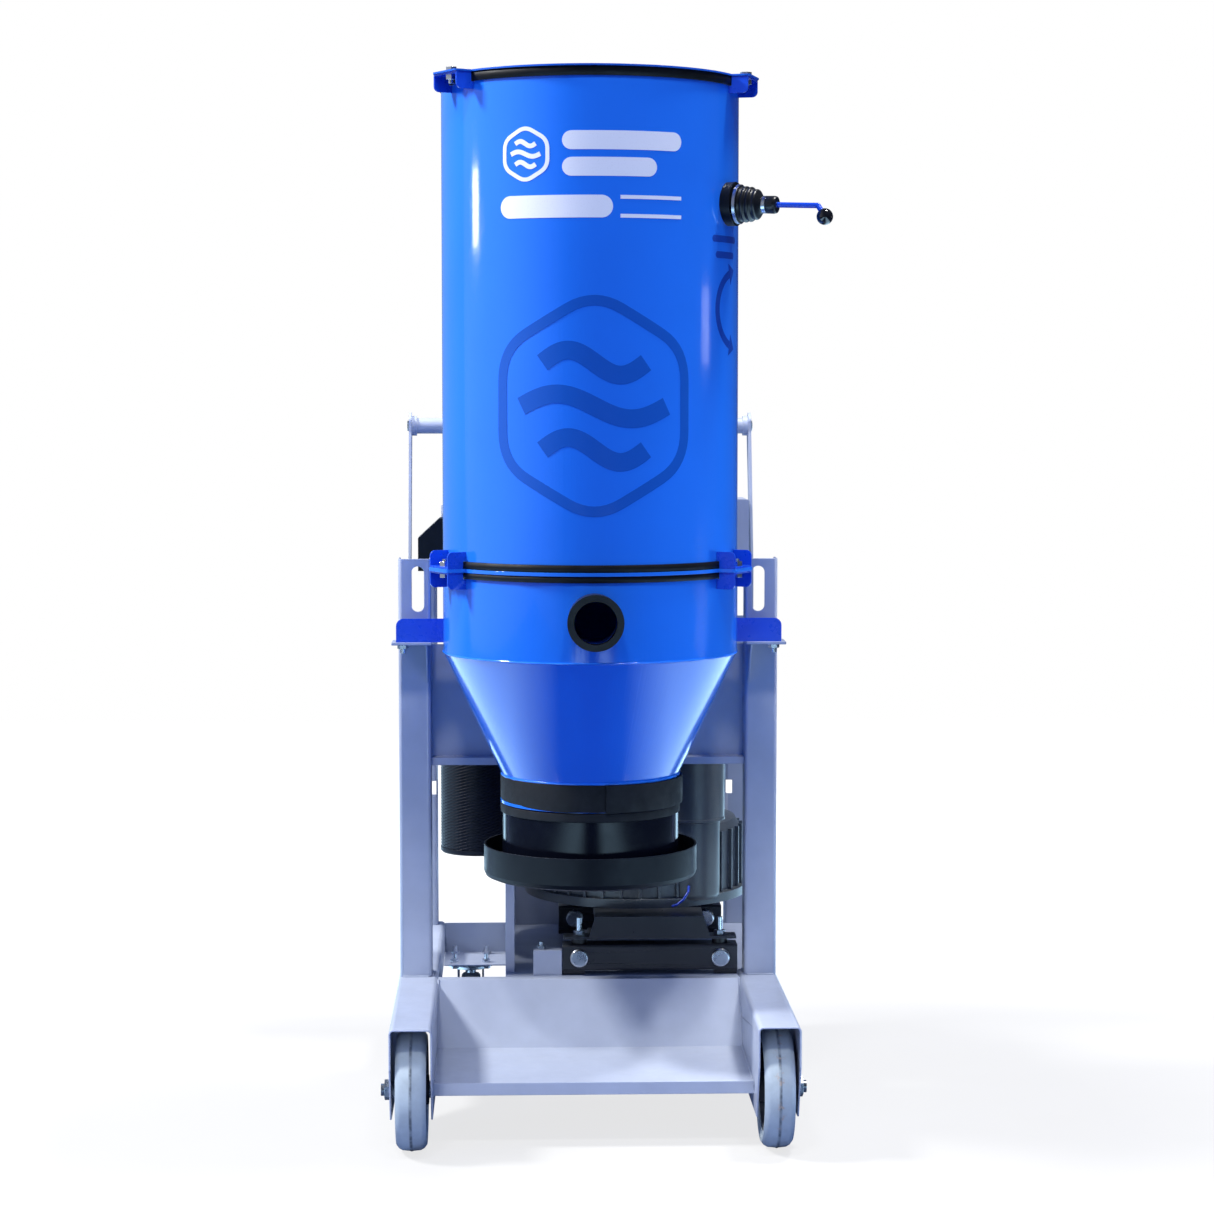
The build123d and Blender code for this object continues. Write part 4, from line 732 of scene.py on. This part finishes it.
def make_hose():
    """Spiral-ribbed suction hose with smooth cuffs at both ends."""
    path = smooth_path(hose_points(), HOSE_BEND, HOSE_RIB_PITCH / 6)
    length = (len(path) - 1) * (path[1] - path[0]).length
    cuff = 0.016

    def radius_at(distance, angle):
        if distance < cuff or distance > length - cuff:
            return HOSE_R - 0.0004
        wave = math.cos(2 * math.pi * distance / HOSE_RIB_PITCH + angle)
        return HOSE_R - HOSE_RIB_DEPTH * (0.5 - 0.5 * wave) ** 1.6

    hose = sweep(path, radius_at, 56)
    fixed_piece("suction_hose_ribbed", hose, "hose_plastic", 70.0, instead_of="suction_hose")
    clamp_parts = []
    for index in (9, -10):
        ahead = path[index + 1] - path[index]
        band = [(HOSE_R - 0.0002, -0.0055), (HOSE_R + 0.0012, -0.0055), (HOSE_R + 0.0012, 0.0055),
                (HOSE_R - 0.0002, 0.0055)]
        clamp_parts.append(lathe(band, path[index], ahead, 96))
        clamp_parts.append(screw_housing(path[index], ahead))
    fixed_piece("hose_clamps", join(clamp_parts), "zinc")


def screw_housing(centre, along):
    """Worm-screw housing on a hose clamp, on the side that faces outwards and up."""
    first, second = axis_frame(along)
    outward = second if second.z > first.z else first
    outward = outward if outward.z >= 0 else -outward
    across = Vector(along).normalized().cross(outward)
    middle = Vector(centre) + outward * (HOSE_R + 0.0045)
    path = [middle - across * 0.011, middle + across * 0.013]
    return sweep(path, lambda distance, angle: 0.0045, 12)


def lever_direction():
    """Direction of the lever's outer arm, from its pivot to its knob's neck."""
    outward = Vector((LEVER_PIVOT.x, LEVER_PIVOT.y, 0)).normalized()
    droop = math.radians(2.4)
    return outward * math.cos(droop) + Vector((0, 0, -math.sin(droop)))


def make_boot():
    """Rubber bellows of the shaker lever: three soft folds, a waist and a thick collar on the rod."""
    start, neck = 0.010, 0.055
    folds = [(0.0310, 0.0), (0.0312, 0.0065), (0.0255, 0.0085), (0.0250, 0.0105), (0.0295, 0.0135),
             (0.0298, 0.0170), (0.0268, 0.0195), (0.0266, 0.0210), (0.0288, 0.0235), (0.0284, 0.0262),
             (0.0252, 0.0290), (0.0246, 0.0320), (0.0254, 0.0345), (0.0240, 0.0372), (0.0205, 0.0395),
             (0.0160, 0.0425), (0.0132, 0.0450)]
    outside = [(radius, start + along) for radius, along in folds]
    collar = [(0.0130, neck + 0.0070), (0.0144, neck + 0.0074), (0.0147, neck + 0.0200),
              (0.0135, neck + 0.0245), (0.0095, neck + 0.0252), (0.0047, neck + 0.0252)]
    inside = [(0.0047, neck + 0.0060), (0.0108, neck), (0.0215, neck - 0.0120), (0.0288, start + 0.0060),
              (0.0288, start)]
    outline = [tuple(point) for point in rounded(outside + collar + inside, 0.0014, 3)]
    vertices, faces = lathe(outline, LEVER_PIVOT, lever_direction(), 96)
    boot = piece("boot_bellows", vertices, faces, LOOKS["black_rubber"], "black_rubber", 50.0)
    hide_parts("shaker_boot")
    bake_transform(boot)


def make_exhaust_sleeve():
    """Woven sleeve round the exhaust silencer: two crossed sets of raised strands between its caps."""
    low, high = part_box("exhaust_silencer")
    bottom, top = low.z + EXHAUST_BASE, high.z - EXHAUST_NECK
    centre = Vector((low.x + EXHAUST_CAP_R, EXHAUST_Y, 0))
    body_r = EXHAUST_CAP_R - 0.0015
    strands, pitch = 24, 0.0054
    rows = round((top - bottom) / (pitch / 7))

    def weave(angle, offset):
        if offset <= bottom or offset >= top:
            return 0.0
        climb = offset / pitch * 2 * math.pi
        over = max(0.0, math.cos(climb - strands * angle)) ** 2
        under = 0.35 * max(0.0, math.cos(climb + strands * angle)) ** 2
        return 0.0011 * max(over, under)

    inside = body_r + 0.00005
    outline = [(inside + 0.0001, bottom + (top - bottom) * row / rows) for row in range(rows + 1)]
    outline += [(inside - 0.0004, top), (inside - 0.0004, bottom)]
    fixed_piece("exhaust_sleeve", lathe(outline, centre, (0, 0, 1), 288, weave), "mesh_black", 70.0)


def ramp(value, low, high):
    """0 below low, 1 above high, straight in between."""
    return max(0.0, min(1.0, (value - low) / (high - low)))


def make_strap():
    """Rubber belt round the outlet: an upper turn whose outer end laps over the bead, and a lower turn."""
    inner_r = OUTLET_R - 0.0007
    steps, section_steps = 260, 10
    start_angle, turn = math.radians(-82), math.radians(385)
    vertices = []
    for step in range(steps + 1):
        share = step / steps
        angle = start_angle + turn * share
        lap = 1 - ramp(share, 0.24, 0.30)
        over_bead = ramp(share, 0.74, 0.85)
        low = STRAP_HIGH.z - 0.0408 - 0.0068 * lap - 0.0058 * over_bead
        high = STRAP_HIGH.z - 0.0002
        radius_in = inner_r + 0.0044 * lap + 0.0010 * over_bead
        for side in range(section_steps):
            corner = side / section_steps * 2 * math.pi
            squareness = 0.35
            u = math.copysign(abs(math.cos(corner)) ** squareness, math.cos(corner))
            v = math.copysign(abs(math.sin(corner)) ** squareness, math.sin(corner))
            radius = radius_in + 0.0016 + 0.0016 * u
            z = (low + high) / 2 + (high - low) / 2 * v
            z += 0.0006 * noise.noise(Vector((angle * 4, v * 2, 3)))
            vertices.append(Vector((radius * math.cos(angle), radius * math.sin(angle), z)))
    faces = grid_faces(steps + 1, section_steps, False, True)
    faces.append(tuple(range(section_steps)))
    faces.append(tuple(range(steps * section_steps, (steps + 1) * section_steps)))
    low, high = STRAP_LOW.z, STRAP_LOW.z + 0.0152
    inside, edge, belly = OUTLET_R + 0.0001, OUTLET_R + 0.0020, OUTLET_R + 0.0026
    middle = (low + high) / 2
    lower = [(inside, low), (edge, low + 0.001), (belly, middle), (edge, high - 0.001), (inside, high)]

    def creases(angle, offset):
        return 0.0004 * noise.noise(Vector((math.cos(angle) * 14, math.sin(angle) * 14, offset * 90)))

    parts = [(vertices, faces), lathe(lower, (0, 0, 0), (0, 0, 1), 240, creases)]
    fixed_piece("outlet_belt", join(parts), "strap_rubber", 50.0, instead_of="outlet_strap")


def make_filter():
    """Pleated felt filter with rounded folds, slack between its rims, hanging from the shaker's hanger."""
    low, high = FILTER_LOW.z, FILTER_HIGH.z
    outer = FILTER_HIGH.x
    pleats, rows, per_pleat = 16, 40, 10
    columns = pleats * per_pleat
    vertices = []
    for layer in (0.0, 0.004):
        for row in range(rows + 1):
            share = row / rows
            slack = 0.004 * math.sin(math.pi * share) * math.sin(share * 19)
            depth = 0.060 * (1 - 0.35 * abs(2 * share - 1) ** 6)
            for column in range(columns):
                angle = 2 * math.pi * column / columns
                fold = 0.5 - 0.5 * math.cos(angle * pleats)
                sway = 0.003 * noise.noise(Vector((math.cos(angle) * 3, math.sin(angle) * 3, share * 5)))
                radius = outer - 0.006 - depth * fold ** 0.8 + slack + sway - layer
                vertices.append(Vector((radius * math.cos(angle), radius * math.sin(angle),
                                        low + (high - low) * share)))
    size = (rows + 1) * columns
    faces = grid_faces(rows + 1, columns, False, True)
    faces += [tuple(size + index for index in reversed(face)) for face in list(faces)]
    for row in (0, rows):
        for column in range(columns):
            first, second = row * columns + column, row * columns + (column + 1) % columns
            faces.append((first, second, second + size, first + size))
    made = piece("filter_pleats", vertices, faces, LOOKS["filter_felt"], "filter_felt", 60.0)
    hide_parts("filter_bag")
    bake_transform(made)


# ---- wheels --------------------------------------------------------------------------------------
def tyre_outline(half, outer, inner):
    """Tyre section (radius, offset): rounded shoulders, a raised mould line and stepped side walls."""
    line = 0.0009
    crown = outer - 0.0009
    side = [(inner, -half + 0.003), (inner + 0.008, -half + 0.0022), (inner + 0.010, -half),
            (outer - 0.011, -half)]
    shoulder = [(crown - 0.0045, -half + 0.0042), (crown - 0.0012, -half + 0.010)]
    middle = [(crown, -line * 3), (outer, -line), (outer, line), (crown, line * 3)]
    left = rounded(side, 0.002, 4, False) + rounded(shoulder, 0.004, 4, False)
    right = [(point[0], -point[1]) for point in reversed(left)]
    return [tuple(point) for point in left] + middle + right


def make_tyre(side):
    """Solid tyre with its mould line."""
    low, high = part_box("front_tyre_" + side)
    centre = (low + high) / 2
    outline = tyre_outline((high.x - low.x) / 2, (high.z - low.z) / 2, TYRE_BORE_R)
    made = piece("tyre_" + side, *lathe(outline, centre, (1, 0, 0), 160), TYRES[side], "tyre_rubber", 30.0)
    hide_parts("front_tyre_" + side)
    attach(made, "front_wheel_" + side)


# ---- frame details -------------------------------------------------------------------------------
def make_frame_welds():
    """Weld beads where the columns, shelves and apron meet the rails and columns."""
    tray_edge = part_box("front_tray")[1].x - 0.0008
    rail_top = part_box("side_rails")[1].z + 0.0006
    parts = []
    apron = [(TRAY_BEND_Y, 0.114), (-0.195, 0.1078)]
    slope = [(0.088, 0.217), (TRAY_BEND_Y, 0.114)]
    for side in (1, -1):
        x = side * tray_edge
        for seed, ((y0, z0), (y1, z1)) in enumerate((apron, slope)):
            line = [Vector((x, y0, z0 + 0.0008)), Vector((x, y1, z1 + 0.0008))]
            parts.append(bead(resample(line, 0.0015), 0.0018, False, seed + 5))
        foot = [Vector((side * (COLUMN_INSIDE_X + dx), COLUMN_FRONT_Y, rail_top)) for dx in (0.0, 0.046)]
        parts.append(bead(resample(foot, 0.0015), 0.0020, False, 8))
        inner = [Vector((side * RAIL_INSIDE_X, 0.120 + dy, rail_top)) for dy in (0.0, 0.042)]
        parts.append(bead(resample(inner, 0.0015), 0.0020, False, 9))
    fixed_piece("frame_welds", join(parts), "frame_paint", 80.0)


def make_wires():
    """Thin blue earth wire beside the blower and the motor's supply cable behind."""
    terminal_low, terminal_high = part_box("terminal_box")
    earth = [(0.182, 0.200, 0.360), (0.180, 0.186, 0.352), (0.172, 0.182, 0.340), (0.160, 0.183, 0.330),
             (0.152, 0.190, 0.326)]
    wire = sweep(smooth_path(earth, 0.004, 0.001), lambda distance, angle: 0.0022, 10)
    fixed_piece("earth_wire", wire, "black_plastic", 60.0, EARTH_WIRE)
    gland = Vector((terminal_high.x - 0.02, (terminal_low.y + terminal_high.y) / 2, terminal_high.z))
    entry = Vector((gland.x + 0.02, BOX_LOW.y + 0.05, BOX_LOW.z))
    cable_path = [gland + Vector((0, 0, -0.002)), gland + Vector((0, 0, 0.09)),
                  Vector((entry.x, entry.y, gland.z + 0.12)), entry + Vector((0, 0, 0.002))]
    cable = sweep(smooth_path(cable_path, 0.03, 0.003), lambda distance, angle: 0.0055, 16)
    fixed_piece("motor_cable", cable, "black_plastic", 60.0, CABLE_JACKET)


# ---- build the pieces ----------------------------------------------------------------------------
dress_cad_nodes()
soften_edges()
make_gaskets()
make_drum_welds()
make_emblem()
make_front_label()
make_shaker_note()
make_hose()
make_boot()
make_exhaust_sleeve()
make_strap()
make_filter()
for wheel_side in TYRES:
    make_tyre(wheel_side)
make_frame_welds()
make_wires()


# ---- floor, light and camera ---------------------------------------------------------------------
def make_floor():
    """Pale floor with a backdrop that only mirrors and lights; white to the camera far from the machine."""
    outline = [(-9.0, 0.0), (2.4, 0.0)]
    bend = 1.6
    for step in range(1, 13):
        angle = math.radians(90 * step / 12)
        outline.append((2.4 + bend * math.sin(angle), bend - bend * math.cos(angle)))
    outline.append((4.0, 9.0))
    vertices = [Vector((x, y, z)) for x in (-9.0, 9.0) for y, z in outline]
    material, tree, place, shader = new_material("look_floor")
    rays = tree.nodes.new("ShaderNodeLightPath")
    by_camera, by_gloss = rays.outputs["Is Camera Ray"], rays.outputs["Is Glossy Ray"]
    parts = add(tree, "ShaderNodeSeparateXYZ", Vector=place)
    cloud = steps_between(tree, noise_at(tree, place, 3.0, 4.0), 0.3, 0.7)
    seen = colour_mix(tree, cloud, rgb(0.120, 0.120, 0.118), rgb(0.130, 0.130, 0.129))
    # Painted bounce light: the floor is blue for the light it bounces onto the machine and dark in its
    # reflections; grey to the camera.
    lit = colour_mix(tree, by_gloss, rgb(0.085, 0.145, 0.32), rgb(0.03, 0.045, 0.08))
    tint = colour_mix(tree, by_camera, lit, seen)
    # Painted reflection: to glossy rays the floor glows bluish beside the machine, and the backdrop glows on
    # its left, so the machine's sides mirror bright strips.
    sideways = math_node(tree, "ABSOLUTE", parts.outputs["X"])
    starts, stops = steps_between(tree, sideways, 0.40, 0.95), steps_between(tree, sideways, 2.4, 1.6)
    beside = math_node(tree, "MULTIPLY", math_node(tree, "MULTIPLY", starts, stops), 3.4)
    wall = math_node(tree, "MULTIPLY", steps_between(tree, parts.outputs["X"], -0.3, -0.9), 0.36)
    on_wall = steps_between(tree, parts.outputs["Z"], 0.1, 0.3)
    mirrored = add(tree, "ShaderNodeMix", {"data_type": "FLOAT"}, i0=on_wall, i2=beside, i3=wall).outputs[0]
    reach = add(tree, "ShaderNodeVectorMath", {"operation": "LENGTH"}, i0=place).outputs["Value"]
    faded = add(tree, "ShaderNodeMapRange", Value=reach, i1=0.9, i2=2.3, i3=0.76, i4=1.0).outputs[0]
    glow = math_node(tree, "ADD", math_node(tree, "MULTIPLY", mirrored, by_gloss),
                     math_node(tree, "MULTIPLY", faded, by_camera))
    glow_tint = colour_mix(tree, by_gloss, rgb(1.0, 1.0, 1.0), rgb(0.50, 0.78, 1.0))
    tree.links.new(tint, shader.inputs["Base Color"])
    tree.links.new(glow, shader.inputs["Emission Strength"])
    tree.links.new(glow_tint, shader.inputs["Emission Color"])
    shader.inputs["Roughness"].default_value = 0.9
    shader.inputs["Specular IOR Level"].default_value = 0.1
    unseen = math_node(tree, "MULTIPLY", on_wall, by_camera)
    clear = tree.nodes.new("ShaderNodeBsdfTransparent").outputs[0]
    shown = add(tree, "ShaderNodeMixShader", i0=unseen, i1=shader.outputs[0], i2=clear).outputs[0]
    output = next(node for node in tree.nodes if node.type == "OUTPUT_MATERIAL")
    tree.links.new(shown, output.inputs["Surface"])
    floor = piece("studio_floor", vertices, grid_faces(2, len(outline)), material, "floor")


def area_light(name, place, aim, width, height, power, in_reflections=True, beam=180.0):
    """Soft box at a place, aimed at a point, its light kept within a beam of so many degrees."""
    light = bpy.data.lights.new(name, "AREA")
    light.shape = "RECTANGLE"
    light.size = width
    light.size_y = height
    light.energy = power
    light.color = (1.0, 0.99, 0.97)
    light.spread = math.radians(beam)
    made = bpy.data.objects.new(name, light)
    made.location = place
    direction = Vector(aim) - Vector(place)
    made.rotation_euler = direction.to_track_quat("-Z", "Y").to_euler()
    made.visible_glossy = in_reflections
    made.visible_camera = False
    bpy.context.scene.collection.objects.link(made)


def make_lights():
    """High boxes left, right and in front, two narrow fills, and two lamps seen as hot strips."""
    middle = (0, 0, 0.8)
    area_light("left_key", (-4.5, 0.0, 5.4), middle, 1.0, 1.0, 620)
    area_light("right_key", (1.6, 0.2, 6.0), middle, 0.7, 0.7, 250)
    area_light("front_left_key", (-0.9, -3.2, 6.0), middle, 0.6, 0.6, 100, False)
    area_light("front_right_key", (0.9, -3.2, 6.0), middle, 0.6, 0.6, 80, False)
    area_light("low_fill", (-0.3, -1.3, 0.10), (-0.05, -0.3, 0.09), 1.6, 0.2, 0.9, False, 44.0)
    area_light("right_fill", (3.3, 0.1, 0.5), (0.2, 0.0, 0.85), 0.6, 0.6, 1.4, False, 30.0)
    area_light("left_lamp", (-2.85, 0.31, 1.72), (0, 0, 1.5), 0.26, 0.20, 3.6)
    area_light("right_lamp", (2.95, 0.26, 1.42), (0, 0, 1.4), 0.45, 0.20, 0.6)


def make_world():
    """White to the camera; a dim blue fill otherwise; mirrored brighter on the left."""
    world = bpy.data.worlds.new("studio")
    bpy.context.scene.world = world
    world.use_nodes = True
    tree = world.node_tree
    tree.nodes.clear()
    rays = tree.nodes.new("ShaderNodeLightPath")
    place = tree.nodes.new("ShaderNodeTexCoord").outputs["Generated"]
    parts = add(tree, "ShaderNodeSeparateXYZ", Vector=place)
    on_left = steps_between(tree, parts.outputs["X"], -0.35, -0.95)
    mirrored_room = colour_mix(tree, on_left, rgb(0.04, 0.05, 0.07), rgb(0.52, 0.55, 0.62))
    room = colour_mix(tree, rays.outputs["Is Glossy Ray"], rgb(0.17, 0.25, 0.55), mirrored_room)
    seen = colour_mix(tree, rays.outputs["Is Camera Ray"], room, rgb(1.0, 1.0, 1.0))
    background = add(tree, "ShaderNodeBackground", Color=seen, Strength=1.0)
    output = tree.nodes.new("ShaderNodeOutputWorld")
    tree.links.new(background.outputs[0], output.inputs[0])


def make_camera():
    """Camera at the photograph's viewing angle: low, long and slightly left of the machine."""
    camera = bpy.data.cameras.new("camera")
    camera.sensor_width = 36.0
    camera.lens = 83.03
    made = bpy.data.objects.new("camera", camera)
    made.location = (-0.134, -4.754, 1.235)
    yaw, pitch = 0.0342, 0.0751
    made.rotation_euler = (math.pi / 2 - pitch, 0.0, -yaw)
    bpy.context.scene.collection.objects.link(made)
    bpy.context.scene.camera = made


make_floor()
make_lights()
make_world()
make_camera()
bpy.context.scene.view_settings.view_transform = "Standard"
